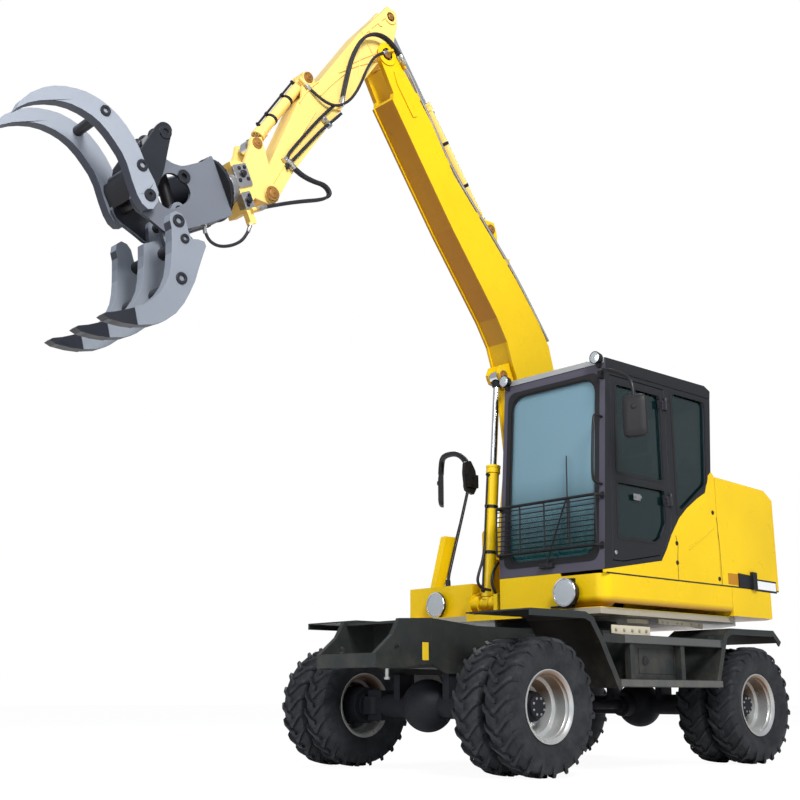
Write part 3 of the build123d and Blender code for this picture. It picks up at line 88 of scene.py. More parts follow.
class Nodes:
    """Short calls for building one material's nodes."""

    def __init__(self, name):
        self.material = bpy.data.materials.new(name)
        self.material.use_nodes = True
        self.tree = self.material.node_tree
        self.shader = self.tree.nodes["Principled BSDF"]
        self.place = self.add("ShaderNodeTexCoord").outputs["Object"]

    def add(self, kind, **values):
        """A new node with some of its settings."""
        node = self.tree.nodes.new(kind)
        for key, value in values.items():
            setattr(node, key, value)
        return node

    def link(self, source, socket):
        """Joins an output to an input."""
        self.tree.links.new(source, socket)

    def feed(self, value, socket):
        """Gives an input a node's output, a colour or a number."""
        if hasattr(value, "is_linked"):
            self.link(value, socket)
        elif hasattr(value, "__len__"):
            socket.default_value = (*value, 1)
        else:
            socket.default_value = value

    def part(self, source, axis):
        """One of the three numbers of a vector."""
        split = self.add("ShaderNodeSeparateXYZ")
        self.link(source, split.inputs[0])
        return split.outputs[axis]

    def noise(self, scale, detail=3.0, rough=0.5, stretch=None):
        """Noise over the machine, from 0 to 1."""
        source = self.place
        if stretch:
            mapping = self.add("ShaderNodeMapping")
            mapping.inputs["Scale"].default_value = stretch
            self.link(source, mapping.inputs["Vector"])
            source = mapping.outputs["Vector"]
        node = self.add("ShaderNodeTexNoise")
        node.inputs["Scale"].default_value = scale
        node.inputs["Detail"].default_value = detail
        node.inputs["Roughness"].default_value = rough
        self.link(source, node.inputs["Vector"])
        return node.outputs["Fac"]

    def ramp(self, value, stops):
        """Colours or greys along a value, from stops of place and colour."""
        node = self.add("ShaderNodeValToRGB")
        ramp = node.color_ramp
        ramp.elements[0].position, ramp.elements[1].position = stops[0][0], stops[-1][0]
        for position, _ in stops[1:-1]:
            ramp.elements.new(position)
        for element, (position, colour) in zip(ramp.elements, stops):
            grey = not hasattr(colour, "__len__")
            element.color = (colour, colour, colour, 1) if grey else (*colour, 1)
        self.link(value, node.inputs["Fac"])
        return node.outputs["Color"]

    def mix(self, factor, a, b):
        """One colour turning into another by a factor."""
        node = self.add("ShaderNodeMix", data_type="RGBA")
        for value, socket in ((factor, node.inputs[0]), (a, node.inputs[6]), (b, node.inputs[7])):
            self.feed(value, socket)
        return node.outputs[2]

    def maths(self, operation, a, b=0.0):
        """A sum on one or two values."""
        node = self.add("ShaderNodeMath", operation=operation)
        for value, socket in zip((a, b), node.inputs):
            self.feed(value, socket)
        return node.outputs[0]

    def height(self):
        """Height above the ground in metres."""
        return self.part(self.place, "Z")

    def facing(self, axis="Z", kind="Normal"):
        """How far a surface faces along an axis, from -1 to 1."""
        return self.part(self.add("ShaderNodeNewGeometry").outputs[kind], axis)

    def beside(self, near, far):
        """0 within a distance of the middle plane, 1 beyond another."""
        return self.ramp(self.maths("ABSOLUTE", self.part(self.place, "Y")), [(near, 0.0), (far, 1.0)])

    def edge_mask(self, radius):
        """Near 1 along sharp edges."""
        bevel = self.add("ShaderNodeBevel", samples=4)
        bevel.inputs["Radius"].default_value = radius
        product = self.add("ShaderNodeVectorMath", operation="DOT_PRODUCT")
        self.link(bevel.outputs["Normal"], product.inputs[0])
        self.link(self.add("ShaderNodeNewGeometry").outputs["Normal"], product.inputs[1])
        return self.ramp(product.outputs["Value"], [(0.80, 1.0), (0.97, 0.0)])

    def bump(self, height, strength, distance=0.001):
        """Roughens the surface by a height."""
        node = self.add("ShaderNodeBump")
        node.inputs["Strength"].default_value = strength
        node.inputs["Distance"].default_value = distance
        self.link(height, node.inputs["Height"])
        self.link(node.outputs["Normal"], self.shader.inputs["Normal"])

    def set(self, **values):
        """Gives the shader's inputs their values."""
        for key, value in values.items():
            self.feed(value, self.shader.inputs[key.replace("_", " ")])


DUST_COLOUR = (0.33, 0.27, 0.19)
EDGE_RADIUS = 0.006
# The upper frame's plate is cream below this height in metres, outside the boom's foot
CREAM_TOP = 1.083
FOOT_HALF_WIDTH = 0.29


def paint(name, colour, roughness=0.35, dust=0.25, wear=0.35, worn=(0.30, 0.29, 0.27), coat=0.1, metallic=0.0,
          underside_shade=(0.40, 0.24, 0.15), turn=0.6, foot=None, front=None):
    """Machine paint with faint mottling, painted shade on faces that look down, dust low down and on ledges,
    and light wear along its edges.
    """
    n = Nodes(name)
    low, high = [c * 0.93 for c in colour], [min(1.0, c * 1.05) for c in colour]
    shade = n.ramp(n.noise(1.6, 4.0), [(0.3, low), (0.7, high)])
    # Painted shade: faces that look down are darkened by the underside factors, fully past the given turn, on
    # faceted normals when the turn is small
    down = n.maths("MULTIPLY", n.facing("Z", "True Normal" if turn < 0.3 else "Normal"), -1.0)
    under = n.ramp(down, [(0.0, 0.0), (turn, 1.0)])
    shade = n.mix(under, shade, [c * t for c, t in zip(colour, underside_shade)])
    # Painted reflection: faces that look forward can take a lighter colour
    if front:
        shade = n.mix(n.ramp(n.facing("X"), [(0.5, 0.0), (0.8, 1.0)]), shade, front)
    if foot:
        low_down = n.maths("LESS_THAN", n.height(), CREAM_TOP)
        outside = n.beside(FOOT_HALF_WIDTH, FOOT_HALF_WIDTH + 0.02)
        shade = n.mix(n.maths("MULTIPLY", low_down, outside), shade, foot)
    grime = n.noise(7.0, 6.0, 0.65)
    near_ground = n.ramp(n.height(), [(0.0, 1.0), (1.0, 0.0)])
    ledge = n.ramp(n.facing(), [(0.75, 0.0), (1.0, 0.6)])
    where = n.maths("MAXIMUM", near_ground, ledge)
    amount = n.maths("MULTIPLY", where, n.ramp(grime, [(0.42, 0.0), (0.72, 1.0)]))
    dusty = n.mix(n.maths("MULTIPLY", amount, dust), shade, DUST_COLOUR)
    patches = n.ramp(n.noise(22.0, 5.0, 0.7), [(0.50, 0.0), (0.66, 1.0)])
    scuff = n.maths("MULTIPLY", n.edge_mask(EDGE_RADIUS), patches)
    n.set(Base_Color=n.mix(n.maths("MULTIPLY", scuff, wear), dusty, worn))
    gloss = [(0.3, roughness - 0.05), (0.75, min(1.0, roughness + 0.14))]
    n.set(Roughness=n.ramp(n.noise(5.0, 5.0, 0.6), gloss))
    n.set(Metallic=metallic, Coat_Weight=coat, Coat_Roughness=0.12, Specular_IOR_Level=0.25)
    n.bump(n.noise(260.0, 2.0), 0.10, 0.0004)
    return n.material


def rubber_tread():
    """Tyre rubber with dust in patches."""
    n = Nodes("tyre_rubber")
    across = n.noise(34.0, 6.0, 0.7)
    base = n.ramp(across, [(0.3, (0.006, 0.007, 0.009)), (0.75, (0.020, 0.022, 0.027))])
    dust = n.ramp(n.noise(9.0, 5.0, 0.7), [(0.40, 0.0), (0.75, 0.45)])
    n.set(Base_Color=n.mix(dust, base, (0.055, 0.059, 0.068)))
    n.set(Roughness=n.ramp(across, [(0.2, 0.50), (0.8, 0.78)]), Specular_IOR_Level=0.28)
    n.bump(n.noise(420.0, 3.0, 0.6), 0.25, 0.0006)
    return n.material


def plain(name, colour, roughness, metallic=0.0, grain=90.0, spread=0.12, bump=0.12, coat=0.0):
    """A single substance with fine grain and slight colour variation."""
    n = Nodes(name)
    grainy = n.noise(grain, 5.0, 0.6)
    low = [c * (1 - spread) for c in colour]
    high = [min(1.0, c * (1 + spread)) for c in colour]
    tones = [(0.3, low), (0.7, high)]
    n.set(Base_Color=n.mix(0.5, n.ramp(grainy, tones), n.ramp(n.noise(3.0), tones)))
    gloss = [(0.3, max(0.02, roughness - 0.05)), (0.7, min(1.0, roughness + 0.07))]
    n.set(Roughness=n.ramp(n.noise(12.0, 4.0), gloss))
    n.set(Metallic=metallic, Coat_Weight=coat, Specular_IOR_Level=0.25)
    n.bump(grainy, bump, 0.0005)
    return n.material


def glass(name, low, high, side, alpha, side_alpha):
    """Cab glass: paler towards the top of the windscreen as a painted sky reflection, and darker in the side
    panes as painted shade.
    """
    n = Nodes(name)
    # Painted reflection: streaks and height pale the windscreen's colour
    reflection_streak = n.noise(2.2, 3.0, 0.5, (1.0, 1.0, 0.35))
    rise = n.maths("ADD", n.maths("MULTIPLY", n.height(), 0.82), n.maths("MULTIPLY", reflection_streak, 0.12))
    front = n.ramp(n.maths("SUBTRACT", rise, 1.30), [(0.02, low), (0.45, high), (1.0, high)])
    part = n.ramp(n.facing("X"), [(0.4, 0.0), (0.7, 1.0)])
    n.set(Base_Color=n.mix(part, side, front), Roughness=0.03, IOR=1.5, Specular_IOR_Level=0.8)
    n.set(Alpha=n.ramp(part, [(0.0, side_alpha), (1.0, alpha)]))
    return n.material


def ribbed_lens(name, colour):
    """A lamp's lens with fine upright ribs."""
    n = Nodes(name)
    ribs = n.add("ShaderNodeTexWave", wave_type="BANDS", bands_direction="Y")
    ribs.inputs["Scale"].default_value = 45.0
    n.link(n.place, ribs.inputs["Vector"])
    n.set(Base_Color=n.ramp(ribs.outputs["Fac"], [(0.0, [c * 0.75 for c in colour]), (1.0, colour)]))
    n.set(Roughness=0.08, Metallic=0.7, Coat_Weight=1.0)
    n.bump(ribs.outputs["Fac"], 0.3, 0.002)
    return n.material


def fabric(name, colour):
    """Woven seat cloth."""
    n = Nodes(name)
    weave = n.add("ShaderNodeTexVoronoi", feature="F1")
    weave.inputs["Scale"].default_value = 420.0
    n.link(n.place, weave.inputs["Vector"])
    tone = n.ramp(weave.outputs["Distance"], [(0.0, [c * 0.6 for c in colour]), (0.6, colour)])
    n.set(Base_Color=tone, Roughness=0.92, Sheen_Weight=0.25)
    n.bump(weave.outputs["Distance"], 0.4, 0.0008)
    return n.material


YELLOW = (0.82, 0.545, 0.004)
DARK_WEAR = {"worn": (0.10, 0.10, 0.10)}
# Shared by the grapple's paints: a steep painted shade on faces that look down, on faceted normals
GRAPPLE_PAINT = {
    "roughness": 0.36, "dust": 0.15, "wear": 0.7, "worn": (0.42, 0.43, 0.45), "coat": 0.2, "turn": 0.16,
}
M = {
    "yellow": paint("yellow_paint", YELLOW, 0.28, 0.16, coat=0.12),
    "frame": paint("frame_paint", YELLOW, 0.28, 0.16, foot=(0.40, 0.36, 0.28)),
    "pale_yellow": paint("pale_yellow_paint", (0.90, 0.66, 0.20), 0.30, 0.10, coat=0.15,
                         underside_shade=(0.80, 0.62, 0.40)),
    "charcoal": paint("charcoal_paint", (0.022, 0.026, 0.026), 0.42, 0.30, wear=0.5, **DARK_WEAR),
    # The cab's faces that look forward take a lighter, bluer colour: painted reflection
    "cab": paint("cab_paint", (0.014, 0.015, 0.018), 0.34, 0.08, wear=0.2, worn=(0.08, 0.08, 0.08),
                 front=(0.075, 0.070, 0.095)),
    # Copies of one dark grey paint: lightest on the upper tines, less on the lower tines and darkest on the
    # cheeks, as painted reflection and shade
    "grapple": paint("grapple_paint", (0.30, 0.33, 0.39), underside_shade=(0.11, 0.11, 0.13), **GRAPPLE_PAINT),
    "claw": paint("claw_paint_painted_reflection", (0.22, 0.245, 0.29), underside_shade=(0.11, 0.11, 0.13), **GRAPPLE_PAINT),
    "cheek": paint("cheek_paint_painted_shade", (0.15, 0.165, 0.20), underside_shade=(0.12, 0.12, 0.14), **GRAPPLE_PAINT),
    "black": paint("black_paint", (0.012, 0.012, 0.015), 0.38, 0.18, wear=0.4, **DARK_WEAR),
    "tyre": rubber_tread(),
    "silver": paint("rim_silver", (0.52, 0.54, 0.55), 0.30, 0.35, wear=0.2, metallic=0.55, coat=0.2),
    "dark_steel": paint("dark_paint", (0.016, 0.018, 0.026), 0.36, 0.10, wear=0.6, worn=(0.22, 0.22, 0.24),
                        coat=0.2),
    "cast": plain("cast_iron", (0.014, 0.015, 0.020), 0.62, 0.25, 60.0, 0.25, 0.5),
    "steel": plain("bare_steel", (0.46, 0.46, 0.47), 0.35, 0.9, 140.0, 0.15, 0.1),
    "bronze": plain("bronze_pin", (0.35, 0.17, 0.045), 0.48, 0.4, 70.0, 0.25, 0.2),
    "chrome": plain("chrome_rod", (0.80, 0.80, 0.82), 0.10, 1.0, 200.0, 0.03, 0.02),
    "hose": plain("hose_rubber", (0.022, 0.022, 0.028), 0.42, 0.0, 300.0, 0.2, 0.2),
    "plastic": plain("black_plastic", (0.016, 0.016, 0.018), 0.50, 0.0, 240.0, 0.15, 0.25),
    "glass": glass("cab_glazing", (0.015, 0.08, 0.085), (0.22, 0.38, 0.47), (0.004, 0.016, 0.017),
                   0.66, 0.80),
    # Darker orange for the band's recess: painted shade
    "recess_shade": paint("recess_painted_shade", (0.45, 0.20, 0.01), 0.5, 0.2),
    "white": paint("white_band", (0.82, 0.84, 0.86), 0.35, 0.2),
    "cream": paint("cream_plate", (0.62, 0.56, 0.42), 0.45, 0.5),
    "charcoal_light": paint("worn_charcoal", (0.085, 0.090, 0.090), 0.45, 0.4, wear=0.5),
    "warning": paint("warning_yellow", (0.75, 0.52, 0.02), 0.5, 0.3),
    "red": paint("red_paint", (0.60, 0.02, 0.015), 0.30, 0.05),
    "lens": ribbed_lens("lamp_lens", (0.80, 0.86, 0.90)),
    "fabric": fabric("seat_fabric", (0.045, 0.045, 0.055)),
}

NODE_MATERIALS = {
    "yellow": ["deck_left", "deck_right", "side_panel", "hood", "right_tank", "counterweight", "boom",
               "lift_barrel"],
    "frame": ["upper_frame"],
    "pale_yellow": ["stick", "crowd_barrel", "tilt_barrel", "hanger"],
    "charcoal": ["chassis_frame", "front_nose", "side_left", "side_right", "lockers"],
    "cast": ["front_axle", "rear_axle", "driveline", "slew_ring", "knuckle_left", "knuckle_right", "engine"],
    "chrome": ["steer_rod", "lift_rod", "crowd_rod", "tilt_rod", "clamp_rod"],
    "cab": ["cab_shell", "cab_roof", "door"],
    "plastic": ["cab_floor", "controls", "mirrors"],
    "glass": ["cab_glass", "door_glass"],
    "fabric": ["seat"],
    "black": ["guard", "clamp_barrel", "rotator"],
    "lens": ["lamps"],
    "grapple": ["upper_jaw", "lower_jaw"],
    "cheek": ["grapple_head"],
    "hose": ["boom_hose", "tilt_hose", "tool_hose", "grapple_hose"],
    "tyre": [name for name in NODES if name.startswith("tyres_")],
    "silver": [name for name in NODES if name.startswith("rims_")],
}
for key, names in NODE_MATERIALS.items():
    for name in names:
        mesh = NODES[name].data
        mesh.materials.clear()
        mesh.materials.append(M[key])


# The builder of pieces

LEAST_RADIUS = 0.01
BEVEL_ANGLE = radians(38)


def skin(rows, count, closed=False):
    """Four-sided faces between rows of as many points, each row running round."""
    faces = []
    for row in range(rows if closed else rows - 1):
        here, there = row * count, (row + 1) % rows * count
        for step in range(count):
            after = (step + 1) % count
            faces.append((here + step, here + after, there + after, there + step))
    return faces


class Piece:
    """One mesh made of simple forms in millimetres, which rides on a body."""

    def __init__(self, name, body, material):
        self.name, self.body, self.material = name, body, material
        self.mesh = bmesh.new()

    def add(self, points, faces):
        """Adds points in millimetres from the front axle, and faces between them."""
        made = [self.mesh.verts.new(metres(point)) for point in points]
        for face in faces:
            self.mesh.faces.new([made[index] for index in face])

    def solid(self, outline, offset):
        """A flat outline of places, thickened by one offset."""
        count = len(outline)
        far = [tuple(Vector(point) + Vector(offset)) for point in outline]
        ends = [tuple(range(count))[::-1], tuple(range(count, 2 * count))]
        self.add(list(outline) + far, ends + skin(2, count))

    def plate(self, outline, y_low, y_high):
        """A plate from a side outline of x and z."""
        self.solid([(x, y_low, z) for x, z in outline], (0, y_high - y_low, 0))

    def box(self, x, y, z):
        """A box from the two ends of its x, y and z."""
        self.plate([(x[0], z[0]), (x[1], z[0]), (x[1], z[1]), (x[0], z[1])], y[0], y[1])

    def turned(self, centre, axis, rows, sides=48, start=0.0, whole=True):
        """A turned form from rows of distance along its axis and radius."""
        axis = Vector(axis).normalized()
        across = axis.orthogonal().normalized()
        other = axis.cross(across)
        turns = [start + 2 * pi * step / sides for step in range(sides)]
        spokes = [across * cos(turn) + other * sin(turn) for turn in turns]
        points = []
        for along, radius in rows:
            middle = Vector(centre) + axis * along
            points += [middle + spoke * max(radius, LEAST_RADIUS) for spoke in spokes]
        faces = skin(len(rows), sides)
        if whole:
            faces.append(tuple(range(sides))[::-1])
            faces.append(tuple(range((len(rows) - 1) * sides, len(rows) * sides)))
        self.add([tuple(point) for point in points], faces)

    def bar(self, start, finish, radius, sides=24):
        """A round bar between two places."""
        run = Vector(finish) - Vector(start)
        self.turned(start, run, [(0.0, radius), (run.length, radius)], sides)

    def bolt(self, centre, axis, size=12.0, washer=True):
        """A hexagon head on its washer, standing on a surface."""
        if washer:
            self.turned(centre, axis, [(0.0, size * 1.15), (size * 0.16, size * 1.15)], 20)
        rows = [(size * 0.14, size * 0.86), (size * 0.66, size * 0.86), (size * 0.78, size * 0.70)]
        self.turned(centre, axis, rows, 6, 0.4)

    def made(self):
        """The forms as one object in the scene."""
        mesh = bpy.data.meshes.new(self.name)
        bmesh.ops.recalc_face_normals(self.mesh, faces=self.mesh.faces[:])
        self.mesh.to_mesh(mesh)
        self.mesh.free()
        thing = bpy.data.objects.new(self.name, mesh)
        bpy.context.scene.collection.objects.link(thing)
        mesh.materials.append(self.material)
        return thing

    def finish(self, bevel=2.0, replaces=(), smooth=32.0):
        """Makes the object, rounds its edges and puts it on its body."""
        thing = self.made()
        dress(thing, bevel, smooth)
        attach(thing, self.body)
        if replaces:
            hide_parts(*replaces)


def dress(thing, bevel=2.0, smooth=32.0):
    """Small rounded edges and smooth shading."""
    for face in thing.data.polygons:
        face.use_smooth = True
    if bevel:
        rounding = thing.modifiers.new("rounding", "BEVEL")
        rounding.width = bevel / 1000
        rounding.segments = 2
        rounding.limit_method = "ANGLE"
        rounding.angle_limit = BEVEL_ANGLE
        rounding.use_clamp_overlap = True
        rounding.harden_normals = True
    thing.data.set_sharp_from_angle(angle=radians(smooth))


# Wheels

LUGS = 22
# The radius at which a lug's turn and width are measured, and how deep its sides go into the tyre
TREAD_RADIUS = 425.0
LUG_DEPTH, SHOULDER_DEPTH, SHOULDER_Y = 24, 15, 104
# Rows of y from a tyre's middle and radius, from one bead to the middle of the crown
HALF_PROFILE = [
    (-74, 205.5), (-76, 226), (-84, 240), (-98, 262), (-110, 292), (-116, 322), (-115, 346), (-109, 372),
    (-99, 396), (-80, 404), (-40, 409),
]
TYRE_PROFILE = HALF_PROFILE + [(0, 411)] + [(-y, radius) for y, radius in HALF_PROFILE[::-1]]
# Stations of a lug from the crown's middle out over the shoulder: y, radius of its top, turn back and half
# width in mm of tread
LUG_STATIONS = [
    (-12, 430, 0, 17), (8, 430, 3, 19), (34, 429.5, 22, 15.5), (62, 428.5, 47, 14.5), (90, 425, 72, 15),
    (108, 412, 88, 16), (115, 392, 96, 15), (116.6, 366, 101, 11),
]


def tyre(piece, x, y_mid, shift):
    """One tyre with its two staggered rows of lugs."""
    sides = 88
    points = []
    for y, radius in TYRE_PROFILE:
        points += [(x + radius * c, y_mid + y, AXLE_Z + radius * s) for c, s in round_steps(sides)]
    piece.add(points, skin(len(TYRE_PROFILE), sides, closed=True))
    for hand in (-1, 1):
        for index in range(LUGS):
            centre = 2 * pi * (index + (0.5 if hand > 0 else 0.0) + shift) / LUGS
            lug(piece, x, y_mid, hand, centre)


def lug(piece, x, y_mid, hand, centre):
    """One lug, with sides that slope out to its foot."""
    points = []
    for y, top, back, half in LUG_STATIONS:
        base = top - LUG_DEPTH if abs(y) < SHOULDER_Y else top - SHOULDER_DEPTH
        for radius, width in ((top, half * 0.82), (base, half * 1.12)):
            for edge in (-1, 1):
                turn = centre + (back + edge * width) / TREAD_RADIUS
                points.append((x + radius * cos(turn), y_mid + hand * y, AXLE_Z + radius * sin(turn)))
    count = len(LUG_STATIONS)
    faces = [(0, 1, 3, 2), (4 * count - 4, 4 * count - 2, 4 * count - 1, 4 * count - 3)]
    for a in range(0, 4 * count - 4, 4):
        b = a + 4
        faces += [(a, b, b + 1, a + 1), (a + 1, b + 1, b + 3, a + 3)]
        faces += [(a + 3, b + 3, b + 2, a + 2), (a + 2, b + 2, b, a)]
    piece.add(points, faces)


WHEELS = [
    ("front_left", 0.0, 1), ("front_right", 0.0, -1),
    ("rear_left", -WHEELBASE, 1), ("rear_right", -WHEELBASE, -1),
]
# Rows of y out from a rim's middle and radius, for a closed section of the rim's barrel
RIM_SECTION = [
    (84, 227), (85, 222), (80, 213), (74, 205), (70, 200), (52, 197), (46, 191), (10, 189), (-46, 191),
    (-70, 199), (-78, 211), (-85, 222), (-84, 227), (-78, 228), (-74, 214), (-70, 204.6), (70, 204.6),
    (74, 214), (78, 228), (84, 227),
]
# The same for the rim's dished disc, with y towards the twin's middle
DISC_SECTION = [
    (46, 192), (58, 176), (104, 158), (131, 148), (131, 92), (121, 92), (121, 142), (96, 150), (48, 168),
    (38, 192), (46, 192),
]
HUB_ROWS = [
    (-248, 60), (-248, 126), (-40, 134), (-18, 128), (-16, 100), (60, 98), (84, 92), (96, 74), (118, 70),
    (124, 60), (124, 20),
]
# Rows of how many bolts, circle radius, y out from the twin's middle, head size, share of a step
HUB_BOLTS = [(10, 118, 12, 15, 0.0), (8, 52, 124, 7, 0.5)]
for word, x, hand in WHEELS:
    body = "wheel_" + word
    rubber = Piece("tyre_pair_" + word, body, M["tyre"])
    metal = Piece("rim_pair_" + word, body, M["silver"])
    centre = Piece("hub_" + word, body, M["cast"])
    nuts = Piece("hub_nuts_" + word, body, M["steel"])
    axis = (0, hand, 0)
    for number, apart in enumerate((-TWIN_SPACING / 2, TWIN_SPACING / 2)):
        middle = hand * (TWIN_MID_Y + apart)
        tyre(rubber, x, middle, 0.3 * number)
        way = 1 if apart < 0 else -1
        disc = [(way * y, radius) for y, radius in DISC_SECTION]
        for rows in (RIM_SECTION, disc):
            metal.turned((x, middle, AXLE_Z), axis, rows, 72, whole=False)
    centre.turned((x, hand * TWIN_MID_Y, AXLE_Z), axis, HUB_ROWS, 48)
    for count, radius, out, size, share in HUB_BOLTS:
        for c, s in round_steps(count, share):
            nuts.bolt((x + radius * c, hand * (TWIN_MID_Y + out), AXLE_Z + radius * s), axis, size)
    rubber.finish(1.8, ["tyres_" + word], 40)
    metal.finish(1.2, ["rims_" + word], 40)
    centre.finish(2.5)
    nuts.finish(0.6)

# CAD pieces kept as they are, with rounded edges: width of the rounding in mm
ROUNDED = {
    "deck_left": 6, "deck_right": 10, "side_panel": 4, "hood": 14, "right_tank": 8, "counterweight": 14,
    "cab_shell": 8, "cab_roof": 14, "door": 5, "boom": 5, "stick": 5, "grapple_head": 4, "upper_jaw": 5,
    "lower_jaw": 5, "hanger": 5, "chassis_frame": 4, "front_nose": 4, "side_left": 3, "side_right": 3,
    "lockers": 4,
}
for name, width in ROUNDED.items():
    dress(NODES[name], width)


# Smooth lines and hoses

def smooth_lines(name, routes, radius, material, fineness):
    """Round bars along smooth lines, with the points of each route as control points and the radius in mm."""
    curve = bpy.data.curves.new(name, "CURVE")
    curve.dimensions = "3D"
    curve.bevel_depth = radius / 1000
    curve.bevel_resolution, curve.resolution_u = fineness
    for points in routes:
        spline = curve.splines.new("NURBS")
        spline.points.add(len(points) - 1)
        for place, point in zip(points, spline.points):
            point.co = (*metres(place), 1.0)
        spline.order_u = 3
        spline.use_endpoint_u = True
    curve.materials.append(material)
    thing = bpy.data.objects.new(name, curve)
    bpy.context.scene.collection.objects.link(thing)
    return thing


def rails(name, body, material, routes, radius):
    """Bent round bars that ride on a body."""
    thing = smooth_lines(name, routes, radius, material, (4, 8))
    thing.data.use_fill_caps = True
    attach(thing, body)


HOSE_RADIUS = 11
TWIN_SHIFT = 27
HOSE_ROUTES = {
    "boom_hose": [
        (232, -19, 5286), (326, -19, 5396), (478, -22, 5430), (622, -30, 5349), (718, -42, 5154),
        (764, -54, 4942), (802, -62, 4733),
    ],
    "tilt_hose": [
        (378, -19, 5315), (490, -19, 5252), (579, -19, 5098), (656, -20, 4902), (746, -26, 4756),
        (871, -34, 4672), (1010, -44, 4692), (1118, -72, 4778),
    ],
    "tool_hose": [
        (1262, -62, 4102), (1185, -58, 4049), (1066, -50, 4022), (953, -45, 4025), (905, -40, 3960),
        (985, -36, 3900), (1173, -32, 3831), (1360, -32, 3753), (1524, -32, 3676),
    ],
    "grapple_hose": [
        (1565, -60, 3550), (1594, -60, 3456), (1694, -60, 3372), (1818, -60, 3332), (1904, -60, 3371),
        (1923, -60, 3449),
    ],
}

# Working arm

def pin_cap(piece, centre, y, hand, radius):
    """The end of a pin: its boss, the cap plate, the keeper and a grease nipple."""
    x, z = centre
    axis = (0, hand, 0)
    rows = [(0, 1.55), (3, 1.62), (9, 1.5), (9, 1.02), (15, 0.96), (17, 0.84)]
    piece.turned((x, y, z), axis, [(out, radius * share) for out, share in rows], 40)
    piece.turned((x, y + hand * 16, z), axis, [(0, 9), (5, 9), (6, 5), (12, 5), (13, 3)], 12)
    for turn in (0.8, 3.94):
        at = (x + cos(turn) * radius * 1.28, y + hand * 9, z + sin(turn) * radius * 1.28)
        piece.bolt(at, axis, radius * 0.24)


BOOM_FOOT, BOOM_TIP = (-1090.0, 1560.0), (372.0, 5300.0)
LIFT_BASE, LIFT_EYE = (-772.0, 1168.0), (-926.0, 2978.0)
STICK_REAR_PIN, CROWD_BASE = (300.0, 5676.0), (-812.0, 4196.0)
STICK_TIP, TILT_BASE, TILT_EYE = (1420.0, 3812.0), (1084.0, 4852.0), (1540.0, 4160.0)
JAW_PIVOT, LOWER_PIVOT, LEVER_TOP, CLAMP_BASE = (631.0, 3.0), (476.0, -158.0), (323.0, 387.0), (372.0, -96.0)
HEAD_BOSS = (278.0, 95.0)

# Rows of body, the pin's centre, how far its ends stand from the arm's middle, radius
ARM_PINS = [
    ("upper", BOOM_FOOT, 168, 34), ("boom", LIFT_EYE, 72, 26), ("boom", CROWD_BASE, 74, 26),
    ("boom", BOOM_TIP, 118, 34), ("stick", STICK_REAR_PIN, 75, 26), ("stick", TILT_BASE, 64, 26),
    ("stick", STICK_TIP, 135, 34), ("hanger", TILT_EYE, 105, 26),
]
EYE_PIN_RADIUS = 26.6
caps = {}
bars = {}
for body, centre, reach, radius in ARM_PINS:
    if body not in caps:
        caps[body] = Piece("pin_caps_" + body, body, M["bronze"])
    for hand in (-1, 1):
        pin_cap(caps[body], centre, ARM_Y + hand * reach, hand, radius)
    if centre in (LIFT_EYE, STICK_REAR_PIN, TILT_EYE):
        bars[body] = Piece("pins_" + body, body, M["steel"])
        ends = [(centre[0], ARM_Y + hand * reach, centre[1]) for hand in (-1, 1)]
        bars[body].bar(*ends, EYE_PIN_RADIUS, 32)
for piece in caps.values():
    piece.finish(1.0)
for piece in bars.values():
    piece.finish(0.8)


def along_cylinder(base, eye, at, off=0.0, y=0.0):
    """A place beside a cylinder: how far along it, how far off to its front or upper side, and y."""
    run, rise = eye[0] - base[0], eye[1] - base[1]
    length = hypot(run, rise)
    return (base[0] + (run * at - rise * off) / length, ARM_Y + y, base[1] + (rise * at + run * off) / length)


# Rows of name, base pin, eye, barrel radius, barrel length, rod radius, which side its pipe runs on
CYLINDERS = [
    ("lift", LIFT_BASE, LIFT_EYE, 47, 1080, 26, -1), ("crowd", CROWD_BASE, STICK_REAR_PIN, 47, 1130, 26, 1),
    ("tilt", TILT_BASE, TILT_EYE, 40, 700, 22, 1),
]
